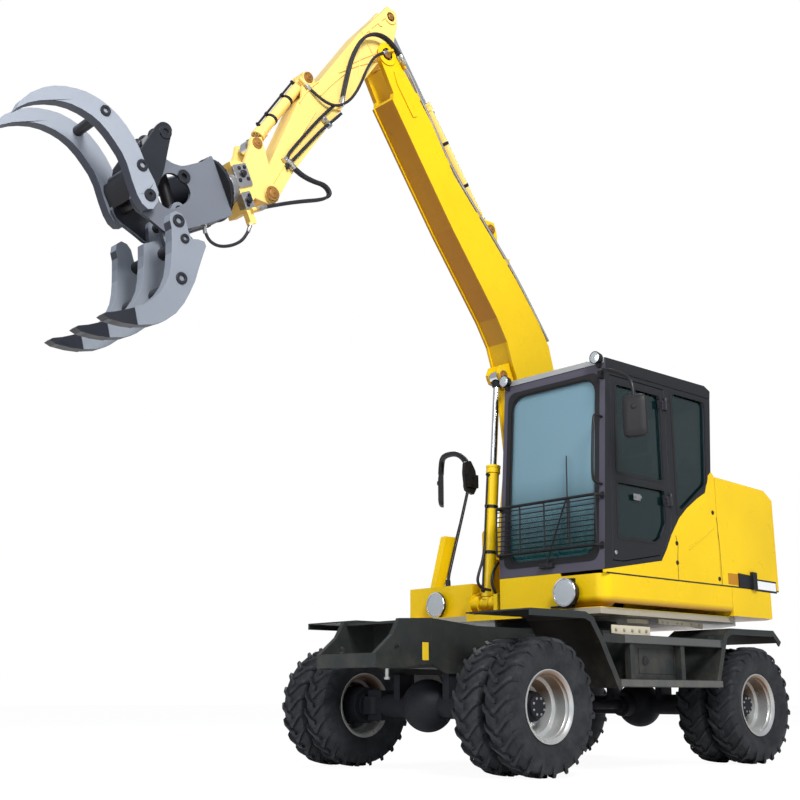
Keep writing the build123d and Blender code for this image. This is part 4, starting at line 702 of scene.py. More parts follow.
# Gland rows of distance from the barrel's end and radius over the barrel's, and the band at its foot
GLAND_ROWS = [(-66, 1), (-62, 9), (-44, 9), (-42, 7), (-22, 7), (-20, 10), (-2, 10), (1, 5)]
FOOT_BAND = [(50, 0.5), (54, 5), (76, 5), (80, 0.5)]
PIPE_START, PIPE_STOP = 95, 84
for name, base, eye, radius, length, rod_radius, way in CYLINDERS:
    def beside(at, off=0.0, y=0.0):
        """A place along this cylinder."""
        return along_cylinder(base, eye, at, off, y)

    trim = Piece(name + "_barrel_trim", name + "_barrel", M["yellow" if name == "lift" else "pale_yellow"])
    steel = Piece(name + "_barrel_fittings", name + "_barrel", M["black"])
    start = beside(0)
    axis = Vector(beside(100)) - Vector(start)
    trim.turned(start, axis, [(length + at, radius + over) for at, over in GLAND_ROWS], 56, whole=False)
    trim.turned(start, axis, [(at, radius + over) for at, over in FOOT_BAND], 56, whole=False)
    for c, s in round_steps(8):
        steel.bolt(beside(length - 1, c * (radius - 8), s * (radius - 8)), axis, 6.5, washer=False)
    lane = way * (radius + 15)
    steel.bar(beside(PIPE_START, lane), beside(length - PIPE_STOP, lane), 8.5)
    for at in (PIPE_START, length - PIPE_STOP):
        port = beside(at, lane + way * 6)
        steel.bar(beside(at, way * (radius - 4)), port, 13)
        steel.bolt(port, Vector(beside(at, way * 100)) - Vector(beside(at)), 11, washer=False)
    for part in (0.35, 0.68):
        rows = [(0, radius + 0.4), (0, radius + 3), (26, radius + 3), (26, radius + 0.4)]
        steel.turned(beside(length * part), axis, rows, 48, whole=False)
        steel.bar(beside(length * part + 3, lane), beside(length * part + 23, lane), 13)
    trim.finish(0.8)
    steel.finish(0.8)
    rod_end = Piece(name + "_rod_eye", name + "_rod", M["cast"])
    whole = hypot(eye[0] - base[0], eye[1] - base[1])
    rows = [(whole - 92, rod_radius + 0.5), (whole - 88, rod_radius + 8), (whole - 60, rod_radius + 12),
            (whole - 42, 44)]
    rod_end.turned(start, axis, rows, 48, whole=False)
    rod_end.finish(1.0)

# Lips of the boom's side plates, proud of its front plate
BOOM_FRONT = [
    (-1125, 2400), (-1052, 2960), (-1007, 3062), (-942, 3254), (-828, 3435), (-646, 3667), (-333, 4066),
    (-7, 4518), (300, 4950),
]
LIP_PROUD, LIP_SUNK = 15, 6


def ribbon(points, thickness, back):
    """Side outline of a strip that follows a line, to its right-hand side."""
    near, far = [], []
    for index, (x, z) in enumerate(points):
        before, after = points[max(index - 1, 0)], points[min(index + 1, len(points) - 1)]
        run, rise = after[0] - before[0], after[1] - before[1]
        length = hypot(run, rise)
        near.append((x - rise * back / length, z + run * back / length))
        far.append((x + rise * thickness / length, z - run * thickness / length))
    return near + far[::-1]


lips = Piece("boom_lips", "boom", M["yellow"])
outline = ribbon(BOOM_FRONT, LIP_PROUD, LIP_SUNK)
for low, high in ((-268.5, -250), (-50, -31.5)):
    for a in range(len(BOOM_FRONT) - 1):
        b = a + 1
        lips.plate([outline[a], outline[b], outline[-1 - b], outline[-1 - a]], low, high)
lips.finish(0)


# Outlines shared by the panels below

def soften(points, radius, steps=6):
    """A closed outline with its corners rounded."""
    out = []
    count = len(points)
    for index, corner in enumerate(points):
        here = Vector(corner)
        before, after = Vector(points[index - 1]), Vector(points[(index + 1) % count])
        back, on = before - here, after - here
        reach = min(radius, back.length * 0.45, on.length * 0.45)
        start, finish = here + back.normalized() * reach, here + on.normalized() * reach
        for step in range(steps + 1):
            t = step / steps
            out.append(tuple(start * (1 - t) ** 2 + here * 2 * t * (1 - t) + finish * t ** 2))
    return out


def shrink(points, gap):
    """A closed outline moved in by a gap, or out by a negative one."""
    area = sum(a[0] * b[1] - b[0] * a[1] for a, b in zip(points, points[1:] + points[:1]))
    way = 1 if area > 0 else -1
    out = []
    count = len(points)
    for index, corner in enumerate(points):
        here = Vector(corner)
        into = (here - Vector(points[index - 1])).normalized()
        on = (Vector(points[(index + 1) % count]) - here).normalized()
        normal_in = Vector((-into.y, into.x)) * way
        normal_on = Vector((-on.y, on.x)) * way
        middle = normal_in + normal_on
        out.append(tuple(here + middle * (gap / max(0.2, 1 + normal_in.dot(normal_on)))))
    return out


def band(piece, outer, inner, place, offset):
    """A flat band between two outlines of as many points, set up by a rule from outline to place."""
    count = len(outer)
    rows = [[Vector(place(*point)) for point in outline] for outline in (outer, inner)]
    rows += [[point + Vector(offset) for point in row] for row in rows[::-1]]
    piece.add([tuple(point) for row in rows for point in row], skin(4, count, closed=True))


def side_band(piece, points, corner, width, y, depth, gap=0.0):
    """A band along a side outline, standing out from a value of y."""
    outer = soften(shrink(points, gap), corner)
    inner = soften(shrink(points, gap + width), max(2.0, corner - width))
    band(piece, outer, inner, lambda x, z: (x, y, z), (0, depth, 0))


# Rows of hose, body at each end, declared length, and y of a twin beside it that the solids leave out
HOSES = [
    ("boom_hose", "boom", "stick", 1.09, 0), ("tilt_hose", "boom", "stick", 1.10, 0),
    ("tool_hose", "stick", "hanger", 1.06, 0), ("grapple_hose", "hanger", "grapple_head", 0.52, 0),
    ("boom_hose", "boom", "stick", 1.09, TWIN_SHIFT), ("tool_hose", "stick", "hanger", 1.06, TWIN_SHIFT),
]


def mesh_of(thing):
    """What an object and its modifiers make, as a mesh."""
    return bpy.data.meshes.new_from_object(thing.evaluated_get(bpy.context.evaluated_depsgraph_get()))


for name, near_body, far_body, length, shift in HOSES:
    points = [(x, y + shift, z) for x, y, z in HOSE_ROUTES[name]]
    piece_name = name + "_twin" if shift else name
    line = smooth_lines(piece_name + "_line", [points], HOSE_RADIUS, M["hose"], (5, 10))
    depth, line.data.bevel_depth = line.data.bevel_depth, 0.0
    path = [tuple(vertex.co) for vertex in mesh_of(line).vertices]
    line.data.bevel_depth = depth
    line.data.use_fill_caps = True
    mesh = mesh_of(line)
    bpy.data.objects.remove(line)
    tube = bpy.data.objects.new(piece_name + "_tube", mesh)
    bpy.context.scene.collection.objects.link(tube)
    for face in mesh.polygons:
        face.use_smooth = True
    if not shift:
        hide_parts(name)
    metres(points[0])
    metres(points[-1])
    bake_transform(tube)
    metres(points[0])
    for body, end, beyond in ((near_body, points[0], points[1]), (far_body, points[-1], points[-2])):
        ferrule = Piece(f"{piece_name}_ferrule_{body}", body, M["steel"])
        run = Vector(beyond) - Vector(end)
        rows = [(-3, 15), (8, 15), (9, 12), (13, 12), (14, 14.5), (48, 14), (52, 11.5)]
        ferrule.turned(end, run, rows, 28)
        ferrule.turned(end, run, [(-26, 16.5), (-4, 16.5)], 6)
        ferrule.finish(0.5)


# Cab
CAB_SIDE = 1035
CAB_INNER_SIDE = 60


def cab_face(z):
    """x of the cab's front face."""
    return -684.0 - 0.07326 * (z - 1335.0)


def front_band(piece, points, gaps, corners, off, depth):
    """A band round an opening in the cab's front, from an outline of y and z."""
    outer, inner = [soften(shrink(points, gap), corner) for gap, corner in zip(gaps, corners)]
    band(piece, outer, inner, lambda y, z: (cab_face(z) + off, y, z), (depth, 0, 0))


def rear_face(y, z):
    """A place on the cab's rear face."""
    return (-2050 - 0.0937 * (z - 2120), y, z)


seals = Piece("window_seals", "upper", M["plastic"])
SCREEN = [(119, 1420), (965, 1420), (965, 2742), (119, 2742)]
front_band(seals, SCREEN, (-20, 14), (78, 125), 0, 4)
front_band(seals, SCREEN, (2, 26), (58, 115), -14, 10)
side_band(seals, [(-1580, 2742), (-2040, 2742), (-1992, 2080), (-1580, 1790)], 70, 24, CAB_SIDE - 2, 5, -12)
boom_side = [(-850, 2742), (-2040, 2742), (-1985, 2000), (-1900, 1900), (-790, 1900)]
side_band(seals, boom_side, 70, 24, CAB_INNER_SIDE, -5, -12)
rear_pane = [(147, 2230), (945, 2230), (945, 2720), (147, 2720)]
band(seals, soften(shrink(rear_pane, -12), 70), soften(shrink(rear_pane, 14), 50), rear_face, (-5, 0, 0))
seals.finish(1.2)
door_seals = Piece("door_seals", "door", M["plastic"])
side_band(door_seals, [(-862, 2021), (-893, 2690), (-1438, 2690), (-1438, 2021)], 50, 20, CAB_SIDE - 2, 5, -8)
low_pane = [(-850, 1560), (-862, 1969), (-1438, 1969), (-1438, 1720), (-1370, 1610), (-1290, 1560)]
side_band(door_seals, low_pane, 40, 20, CAB_SIDE - 2, 5, -8)
door_seals.finish(1.2)

handles = Piece("door_handle", "door", M["steel"])
handles.box((-1128, -1050), (CAB_SIDE, CAB_SIDE + 5), (1852, 1898))
handles.turned((-1089, CAB_SIDE + 5, 1875), (0, 1, 0), [(0, 21), (4, 21), (6, 18)], 36)
handles.box((-1122, -1058), (CAB_SIDE + 11, CAB_SIDE + 20), (1866, 1884))
handles.box((-1120, -1106), (CAB_SIDE + 3, CAB_SIDE + 15), (1866, 1884))
handles.turned((-816, CAB_SIDE, 1459), (0, 1, 0), [(0, 15), (5, 15), (7, 11)], 28)
handles.finish(2.0)
slot = Piece("door_latch_slot", "door", M["black"])
slot.box((-846, -800), (CAB_SIDE, CAB_SIDE + 2.5), (1432, 1486))
slot.finish(4.0)
straps = Piece("hinge_straps", "door", M["black"])
for z in (1885, 2615):
    straps.box((-1478, -1400), (CAB_SIDE, CAB_SIDE + 6), (z - 30, z + 30))
    for x in (-1452, -1420):
        for up in (14, -14):
            straps.bolt((x, CAB_SIDE + 6, z + up), (0, 1, 0), 7)
straps.finish(1.5)

# Guard before the windscreen: how far it stands out, its two rails' heights and the y of their feet
GUARD_X = -640.0
GUARD_LOW, GUARD_HIGH = 1500, 1850
GUARD_RIGHT, GUARD_LEFT = 72, 1018
rails("guard_rails", "upper", M["black"], [
    [(cab_face(z), GUARD_RIGHT, z), (bend, GUARD_RIGHT, z), (GUARD_X, 84, z), (GUARD_X, 200, z),
     (GUARD_X, 880, z), (GUARD_X, 1006, z), (bend, GUARD_LEFT, z), (cab_face(z), GUARD_LEFT, z)]
    for z, bend in ((GUARD_LOW, -660), (GUARD_HIGH, -664))
], 11)
grille = Piece("guard_grille", "upper", M["black"])
for step in range(9):
    z = 1532 + step * 36
    grille.bar((GUARD_X, 76, z), (GUARD_X, 1014, z), 4.2, 12)
for y in (78, 312, 545, 778, 1012):
    grille.bar((GUARD_X - 1, y, GUARD_LOW), (GUARD_X - 1, y, GUARD_HIGH), 6.5, 14)
for z in (GUARD_LOW, GUARD_HIGH):
    for y in (GUARD_RIGHT, GUARD_LEFT):
        grille.turned((cab_face(z) + 0.4, y, z), (1, 0, 0), [(0, 26), (6, 26), (8, 22)], 28)
grille.finish(0.6, ["guard"])

grab = [
    (cab_face(2420), 1004, 2420), (-676, 1016, 2424), (-648, 1022, 2400), (-634, 1022, 2300),
    (-612, 1022, 2060), (-614, 1020, 1960), (-640, 1016, 1934), (cab_face(1930), 1006, 1930),
]
rails("grab_rail", "upper", M["black"], [grab], 10)

wiper = Piece("wiper", "upper", M["plastic"])
wiper.box((cab_face(1405) - 4, cab_face(1405) + 34), (470, 590), (1378, 1412))
wiper.bar((cab_face(1400) + 22, 530, 1398), (cab_face(1800) + 12, 700, 1860), 6, 12)
wiper.bar((cab_face(1560) + 8, 716, 1560), (cab_face(2180) + 8, 690, 2180), 5, 12)
wiper.turned((cab_face(1400) + 12, 530, 1398), (1, 0, 0.07), [(0, 20), (18, 20), (24, 14)], 28)
wiper.finish(1.5)

roof = Piece("roof_trim", "upper", M["silver"])
roof_edge = [(-792, 2822), (-788, 2822), (-789, 2858), (-797, 2866), (-812, 2866), (-812, 2862), (-797, 2860)]
roof.plate(roof_edge, 70, 1022)
roof.finish(1.0)
gutter = Piece("roof_gutter", "upper", M["plastic"])
for low, high in ((1034.4, 1042), (50, 57.6)):
    gutter.plate([(-800, 2774), (-2100, 2774), (-2100, 2788), (-800, 2788)], low, high)
gutter.plate([(-2116, 2774), (-2112, 2774), (-2112, 2788), (-2116, 2788)], 60, 1032)
gutter.box((-1900, -1350), (300, 800), (2864, 2876))
gutter.finish(2.0)

# Lamps and mirrors
ROAD_LAMP_BOWL = [(0, 96), (-1, 91), (-14, 82), (-28, 65), (-38, 43), (-42, 19), (-42, 0.1)]
bowls = Piece("lamp_bowls", "upper", M["chrome"])
housings = Piece("lamp_housings", "upper", M["black"])
lenses = Piece("lamp_lenses", "upper", M["lens"])
bulbs = Piece("lamp_bulbs", "upper", M["steel"])


def open_turned(piece, place, rows, sides=64):
    """A turned form about a line that runs forward, open at both ends."""
    piece.turned(place, (1, 0, 0), rows, sides, whole=False)


for x, y, z, depth in ((-600, 740, 1190, 79), (-740, -690, 1190, 49)):
    place = (x, y, z)
    open_turned(housings, place, [(-depth, 60), (-depth + 14, 84), (-16, 101), (0, 101), (0, 92), (-12, 87)])
    open_turned(housings, place, [(-depth, 0.1), (-depth, 60)])
    open_turned(bowls, place, ROAD_LAMP_BOWL)
    open_turned(bowls, place, [(1, 101), (3, 97), (2, 92), (-2, 92)])
    bulbs.turned((x - 41, y, z), (1, 0, 0), [(0, 14), (16, 13), (22, 9), (25, 2)], 28)
    open_turned(lenses, place, [(-2.2, 92), (1, 88), (5, 48), (6, 0.1)])
for y in (100, 990):
    place = (-728, y, 2856)
    open_turned(housings, place, [(-60, 24), (-52, 38), (-8, 46), (0, 46), (0, 41), (-8, 38)], 48)
    open_turned(housings, place, [(-60, 0.1), (-60, 24)], 48)
    open_turned(bowls, place, [(-1, 41), (-10, 36), (-20, 24), (-24, 8), (-24, 0.1)], 48)
    open_turned(lenses, place, [(-1.2, 41), (0, 38), (1, 0.1)], 48)
    housings.plate([(-791.2, 2790), (-795.4, 2850), (-760, 2856), (-748, 2822), (-760, 2790)], y - 12, y + 12)
    housings.bolt((-772, y + 12, 2812), (0, 1, 0), 8)
housings.box((-690, -664), (560, 760), (1092, 1106))
housings.box((-684, -664), (700, 780), (1100, 1290))
housings.finish(1.5, ["lamps"])
bowls.finish(0)
lenses.finish(0)
bulbs.finish(0.6)

heads = Piece("mirror_heads", "upper", M["plastic"])
panes = Piece("mirror_panes", "upper", M["chrome"])
MIRROR_SHAPE = [(-85, -150), (85, -150), (85, 150), (-85, 150)]
# Rows of distance out from the mirror's middle and how far its outline is drawn in there
MIRROR_ROWS = [(-24.5, 5), (-22, 0), (-6, 0), (10, 8), (20, 26), (24.5, 52)]
for place, out in (((-700, 1338, 2361), (0.924, 0.383, 0)), ((-1407, -1300, 2266), (0.7071, -0.7071, 0))):
    normal = Vector(out)
    across = Vector((-out[1], out[0], 0))

    def at(a, b, off=0.0):
        """A place on this mirror's back, or off it."""
        return tuple(Vector(place) + across * a + Vector((0, 0, b)) + normal * off)

    loops = []
    for off, gap in MIRROR_ROWS:
        rounded = soften(shrink(MIRROR_SHAPE, gap), max(8, 42 - gap * 0.4), 8)
        loops.append([at(a, b, off) for a, b in rounded])
    count = len(loops[0])
    ends = [tuple(range(count)), tuple(range((len(loops) - 1) * count, len(loops) * count))]
    heads.add([point for loop in loops for point in loop], ends + skin(len(loops), count))
    panes.solid([at(a, b, -25.2) for a, b in soften(shrink(MIRROR_SHAPE, 11), 34, 8)], tuple(normal * 1.5))
    heads.turned(at(0, 60, 20), out, [(0, 22), (8, 20), (14, 12)], 28)
heads.finish(1.0, ["mirrors"])
panes.finish(0)
rails("mirror_arms", "upper", M["black"], [
    [(-775, 1020, 2731), (-712, 1066, 2746), (-700, 1110, 2736), (-700, 1200, 2700), (-700, 1306, 2640),
     (-700, 1336, 2560), (-700, 1338, 2480)],
    [(-893, -700, 1335.5), (-893, -700, 1400), (-930, -700, 1520), (-1144, -700, 2172), (-1190, -720, 2280)],
], 13)
rails("mirror_hook", "upper", M["black"], [
    [(-1180, -712, 2240), (-1205, -745, 2350), (-1240, -850, 2470), (-1290, -1000, 2540),
     (-1345, -1200, 2548), (-1396, -1280, 2500), (-1402, -1292, 2400)],
], 26)
feet = Piece("mirror_feet", "upper", M["black"])
arm_foot = [(cab_face(2700) + 0.5, 2700), (cab_face(2762) + 0.5, 2762), (-745, 2756), (-742, 2704)]
feet.plate(arm_foot, 996, 1034)
feet.bolt((-764, 1034, 2714), (0, 1, 0), 8)
feet.turned((-893, -700, 1335.4), (0, 0, 1), [(0, 34), (10, 34), (12, 22), (60, 20), (62, 16)], 32)
for x, y in ((-917, -724), (-869, -724), (-917, -676), (-869, -676)):
    feet.bolt((x, y, 1335.4), (0, 0, 1), 7)
feet.bar((-1108, -700, 2060), (-1060, -770, 1745), 9)
pole_head = [
    (-1090, 2300), (-1100, 2390), (-1170, 2410), (-1225, 2330), (-1250, 2200), (-1200, 2120), (-1110, 2150),
]
feet.plate(soften(pole_head, 16, 3), -722, -694)
feet.box((-1240, -1120), (-740, -676), (2180, 2290))
for z in (2206, 2264):
    feet.bolt((-1180, -676, z), (0, 1, 0), 12)
feet.finish(1.2)


def pierced(piece, outer, holes, place, offset):
    """A flat plate with holes, set up by a rule from outline to place and thickened by an offset."""
    loops = [outer] + list(holes)
    near = [Vector(place(*point)) for loop in loops for point in loop]
    far = [point + Vector(offset) for point in near]
    count = len(near)
    faces = []
    for a, b, c in tessellate_polygon([[(x, y, 0) for x, y in loop] for loop in loops]):
        faces += [(a, b, c), (c + count, b + count, a + count)]
    start = 0
    for loop in loops:
        for step in range(len(loop)):
            a, b = start + step, start + (step + 1) % len(loop)
            faces.append((a, b, b + count, a + count))
        start += len(loop)
    piece.add([tuple(point) for point in near + far], faces)


def circle(u, v, radius):
    """A round outline."""
    return [(u + radius * c, v + radius * s) for c, s in round_steps(28)]


def tool_pierced(piece, outer, holes, y_low, y_high):
    """A plate with holes, in the grapple's own directions."""
    pierced(piece, outer, holes, lambda u, v: tool_point(u, v, y_low), (0, y_high - y_low, 0))


def tool_bar(piece, centre, y_low, y_high, radius, sides=36):
    """A round bar across the grapple."""
    piece.bar(tool_point(*centre, y_low), tool_point(*centre, y_high), radius, sides)


def tool_boss(piece, centre, y, hand, radius, hole):
    """A raised ring round a pin or tube end, with a dished middle."""
    rows = [(0, radius), (9, radius), (12, radius - 4), (12, hole + 3), (9, hole), (-10, hole), (-10, 0.1)]
    piece.turned(tool_point(*centre, y), (0, hand, 0), rows, 40, whole=False)


# Grapple: upper jaw, with y from the arm's middle plane
UPPER_TINE = [
    (1312, 629), (1262, 676), (1180, 716), (1088, 738), (1016, 742), (945, 732), (878, 712), (813, 684),
    (752, 640), (698, 586), (656, 524), (622, 450), (598, 372), (585, 300), (582, 236), (572, 150),
    (560, 80), (562, 10), (590, -50), (640, -86), (684, -78), (710, -40), (722, 20), (722, 108), (716, 217),
    (724, 290), (744, 357), (768, 424), (800, 487), (840, 538), (886, 579), (944, 616), (1009, 642),
    (1080, 656), (1148, 660), (1220, 654),
]
LEVER = [
    (262, 396), (268, 430), (292, 452), (330, 458), (366, 440), (480, 352), (600, 262), (636, 150), (634, 40),
    (600, 10), (560, 20), (500, 74), (430, 150), (330, 300),
]
# How far the upper tines' two faces and the levers' outer faces stand from the arm's middle plane
TINE_NEAR, TINE_FAR, LEVER_FAR = 141, 215, 167
UPPER_TUBE, ROOT_TUBE = (734, 555), (612, 192)
jaw = Piece("upper_jaw_tines", "upper_jaw", M["grapple"])
jaw_dark = Piece("upper_jaw_tubes", "upper_jaw", M["dark_steel"])
for hand in (-1, 1):
    near = hand * TINE_NEAR
    tool_pierced(jaw, UPPER_TINE, [circle(*JAW_PIVOT, 30)], near, hand * TINE_FAR)
    for centre, radius in ((UPPER_TUBE, 34), (ROOT_TUBE, 38)):
        tool_boss(jaw_dark, centre, hand * TINE_FAR, hand, radius, radius * 0.45)
    tool_pierced(jaw_dark, soften(LEVER, 40, 4), [], near, hand * LEVER_FAR)
    tool_boss(jaw_dark, LEVER_TOP, hand * LEVER_FAR, hand, 44, 20)
    tool_bar(jaw_dark, LEVER_TOP, hand * 58, near, 56, 44)
    tool_bar(jaw_dark, LEVER_TOP, hand * 60, hand * 66, 64, 44)
tool_bar(jaw_dark, UPPER_TUBE, -TINE_NEAR, TINE_NEAR, 34)
tool_bar(jaw_dark, ROOT_TUBE, -TINE_NEAR, TINE_NEAR, 44)
root_plate = [(585, 30), (700, 30), (705, 150), (690, 190), (640, 180), (590, 110)]
tool_pierced(jaw_dark, root_plate, [], -TINE_NEAR, TINE_NEAR)
jaw.finish(4.0, ["upper_jaw"], 30)
jaw_dark.finish(1.5)

# Grapple: lower jaw, three tines on two tubes with their hanging lugs
LOWER_EAR = [(600, -150), (566, -176)]
LOWER_BODY = [
    (552, -220), (560, -290), (556, -338), (510, -350), (470, -372), (470, -402), (505, -440), (576, -520),
    (636, -592), (700, -650), (768, -704), (850, -750), (940, -774), (1030, -776), (1120, -756),
    (1210, -722), (1300, -676), (1262, -652), (1190, -648), (1114, -652), (1040, -648), (980, -634),
    (910, -606), (850, -566), (800, -516), (762, -456), (730, -390), (700, -320), (672, -250), (664, -200),
]
LOWER_TINE = LOWER_EAR + LOWER_BODY + [(640, -160)]
# The middle tine has no ear for a pin, and ends here
MIDDLE_TOP = -250
MIDDLE_TINE = [(u, min(v, MIDDLE_TOP)) for u, v in LOWER_BODY]
# Dark plates along the lower tines' tips and outer edge, a little wider than the tines: painted shade
LOWER_TIP_SHADE = [
    (1130, -756), (1215, -722), (1298, -676), (1326, -644), (1304, -636), (1240, -646), (1170, -650),
    (1110, -652),
]
JAW_LUG = [
    (330, -140), (320, -90), (345, -50), (395, -46), (430, -80), (522, -112), (560, -235), (560, -340),
    (520, -360), (470, -345), (400, -200),
]
JAW_WEB = [
    (470, -262), (455, -330), (560, -470), (640, -560), (700, -560), (650, -430), (600, -300), (560, -250),
]
LOWER_TINE_Y, TINE_HALF, TIP_HALF, WEB_HALF = 330, 37, 42, 10
claw = Piece("lower_jaw_tines", "lower_jaw", M["claw"])
claw_dark = Piece("lower_jaw_tubes", "lower_jaw", M["dark_steel"])
for y, outline in ((-LOWER_TINE_Y, LOWER_TINE), (0, MIDDLE_TINE), (LOWER_TINE_Y, LOWER_TINE)):
    tool_pierced(claw, outline, [], y - TINE_HALF, y + TINE_HALF)
    tool_pierced(claw_dark, LOWER_TIP_SHADE, [], y - TIP_HALF, y + TIP_HALF)
for hand in (-1, 1):
    tool_pierced(claw, soften(JAW_LUG, 30, 4), [circle(*LOWER_PIVOT, 30)], hand * 60, hand * 100)
    for centre, radius, hole in (((606, -328), 30, 13), ((606, -214), 40, 18), ((728, -556), 38, 18)):
        tool_boss(claw_dark, centre, hand * (LOWER_TINE_Y + TINE_HALF), hand, radius, hole)
tool_bar(claw_dark, (560, -343), -LOWER_TINE_Y, LOWER_TINE_Y, 42)
tool_bar(claw_dark, (728, -590), -LOWER_TINE_Y, LOWER_TINE_Y, 46)
tool_bar(claw_dark, CLAMP_BASE, -104, 104, 26)
for y in (-LOWER_TINE_Y / 2, LOWER_TINE_Y / 2):
    tool_pierced(claw_dark, JAW_WEB, [], y - WEB_HALF, y + WEB_HALF)
claw.finish(4.0, ["lower_jaw"], 30)
claw_dark.finish(1.5)

# Grapple head: cone, flange and two cheeks with a large window each
HEAD_CHEEK = [
    (0, 206), (90, 172), (200, 166), (262, 164), (330, 196), (380, 244), (470, 252), (560, 236), (612, 190),
    (640, 120), (690, 60), (716, 20), (704, -50), (650, -110), (600, -170), (560, -225), (430, -236),
    (200, -226), (0, -212),
]
HEAD_WINDOW = [
    (470, 96), (410, 140), (342, 132), (296, 84), (262, 30), (270, -30), (312, -66), (380, -84), (440, -96),
    (500, -76), (524, -20), (510, 50),
]
CONE_ROWS = [(-89, 130), (-84, 132), (-24, 196), (-20, 212), (-4, 212), (0, 208), (0, 0.1)]
CONE_RIB, RIB_THICK = ((-84, 134), (-24, 206), (-24, 190)), 8
CHEEK_NEAR, CHEEK_FAR, SHADE_LINING = 109, 135, 3
head = Piece("head_cheeks", "grapple_head", M["cheek"])
dark = Piece("head_cone", "grapple_head", M["dark_steel"])
window = soften(HEAD_WINDOW, 30, 4)
for hand in (-1, 1):
    far = hand * CHEEK_FAR
    tool_pierced(head, soften(HEAD_CHEEK, 24, 3), [window, circle(*HEAD_BOSS, 30)], hand * CHEEK_NEAR, far)
    for centre, radius, hole in ((HEAD_BOSS, 46, 20), ((462, 190), 36, 16), ((640, 4), 44, 18)):
        tool_boss(dark, centre, far, hand, radius, hole)
centre = tool_point(0, 0)
axis = Vector(tool_point(100, 0)) - Vector(centre)
dark.turned(centre, axis, CONE_ROWS, 72, whole=False)
dark.turned(centre, axis, [(-89, 0.1), (-89, 130)], 72, whole=False)
for c, s in round_steps(16):
    dark.bolt(tool_point(-21, 204 * c, 204 * s), -axis, 9, washer=False)
for c, s in round_steps(8, 0.5):
    a, b, d = [Vector(tool_point(u, radius * c, radius * s)) for u, radius in CONE_RIB]
    side = (b - a).cross(d - a).normalized() * RIB_THICK
    dark.solid([tuple(corner - side / 2) for corner in (a, b, d)], tuple(side))
# A thin dark plate inside the far cheek, round the same window: painted shade seen through the near window
shade_lining_holes = [window, circle(*JAW_PIVOT, 31), circle(*LOWER_PIVOT, 31)]
tool_pierced(dark, shrink(soften(HEAD_CHEEK, 24, 3), 9), shade_lining_holes, -CHEEK_NEAR, -CHEEK_NEAR + SHADE_LINING)
tool_pierced(head, [(0, 200), (22, 200), (22, -205), (0, -205)], [], -CHEEK_NEAR, CHEEK_NEAR)
tool_pierced(head, [(21, -205), (280, -222), (280, -200), (21, -183)], [], -CHEEK_NEAR, CHEEK_NEAR)
tool_bar(dark, JAW_PIVOT, -TINE_FAR, TINE_FAR, 29)
tool_bar(dark, LOWER_PIVOT, -122, 122, 29)
for centre, reach in ((JAW_PIVOT, TINE_FAR), (LOWER_PIVOT, 124)):
    for hand in (-1, 1):
        tool_boss(dark, centre, hand * reach, hand, 40, 14)
head.finish(3.0, ["grapple_head"], 30)
dark.finish(1.2)

# Rotator with its valve block and ports, on the hanger's plate
block_piece = Piece("rotator_motor", "hanger", M["steel"])
ports = Piece("rotator_ports", "hanger", M["dark_steel"])
centre = tool_point(-149.5, 0)
block_piece.turned(centre, axis, [(0, 118), (8, 120), (46, 120), (50, 112), (59, 112)], 64)
for u_low, u_high, v_low, v_high, y_low, y_high in (
    (-270, -150, -40, 120, 62, 118), (-262, -176, 60, 142, 20, 92), (-230, -150, -190, -70, 40, 112),
    (-300, -240, -20, 60, 30, 84),
):
    outline = [(u_low, v_low), (u_high, v_low), (u_high, v_high), (u_low, v_high)]
    tool_pierced(block_piece, soften(outline, 10, 2), [], y_low, y_high)
for u, v, y in (
    (-246, 92, 118), (-200, 92, 118), (-246, 10, 118), (-176, 10, 118), (-210, -100, 112), (-176, -160, 112),
):
    ports.bolt(tool_point(u, v, y), (0, 1, 0), 13)
for u, v, y in ((-214, 50, 118), (-190, -130, 112)):
    ports.turned(tool_point(u, v, y), (0, 1, 0), [(0, 26), (6, 26), (8, 20), (22, 20), (24, 12)], 28)
block_piece.finish(3.0, ["rotator"], 40)
ports.finish(0.8)

# Stick: weld lines on its sides, pipe clamps, pipes and pin bosses
STICK_HALF = 75
RIB_LINES = [
    [(318, 5680), (470, 5540), (585, 5385)], [(442, 5236), (560, 5380), (590, 5430)],
    [(440, 5232), (640, 5120), (812, 4990)], [(585, 5400), (612, 5180), (618, 4960)],
    [(345, 5362), (560, 5230), (740, 5070)], [(1000, 4845), (1110, 4740), (1170, 4610)],
    [(1020, 4600), (1240, 4180), (1400, 3880)], [(700, 5060), (860, 4900), (980, 4740)],
]
for hand, name in ((1, "left"), (-1, "right")):
    side = ARM_Y + hand * STICK_HALF
    routes = [[(x, side, z) for x, z in line] for line in RIB_LINES]
    rails("stick_welds_" + name, "stick", M["pale_yellow"], routes, 7)
clamps = Piece("stick_clamps", "stick", M["steel"])
across = Vector((0.83, 0, 0.56))
upright = Vector((-across.z, 0, across.x))
for x, z in ((935, 4542), (1262, 4105)):
    for part in (-28, 28):
        middle = Vector((x, 0, z)) + across * part
        corners = [middle + across * a + upright * b for a, b in ((-25, -17), (25, -17), (25, 17), (-25, 17))]
        clamps.plate([(corner.x, corner.z) for corner in corners], ARM_Y + STICK_HALF, ARM_Y + 104)
        clamps.bolt((middle.x, ARM_Y + 104, middle.z), (0, 1, 0), 10)
clamps.finish(2.0)
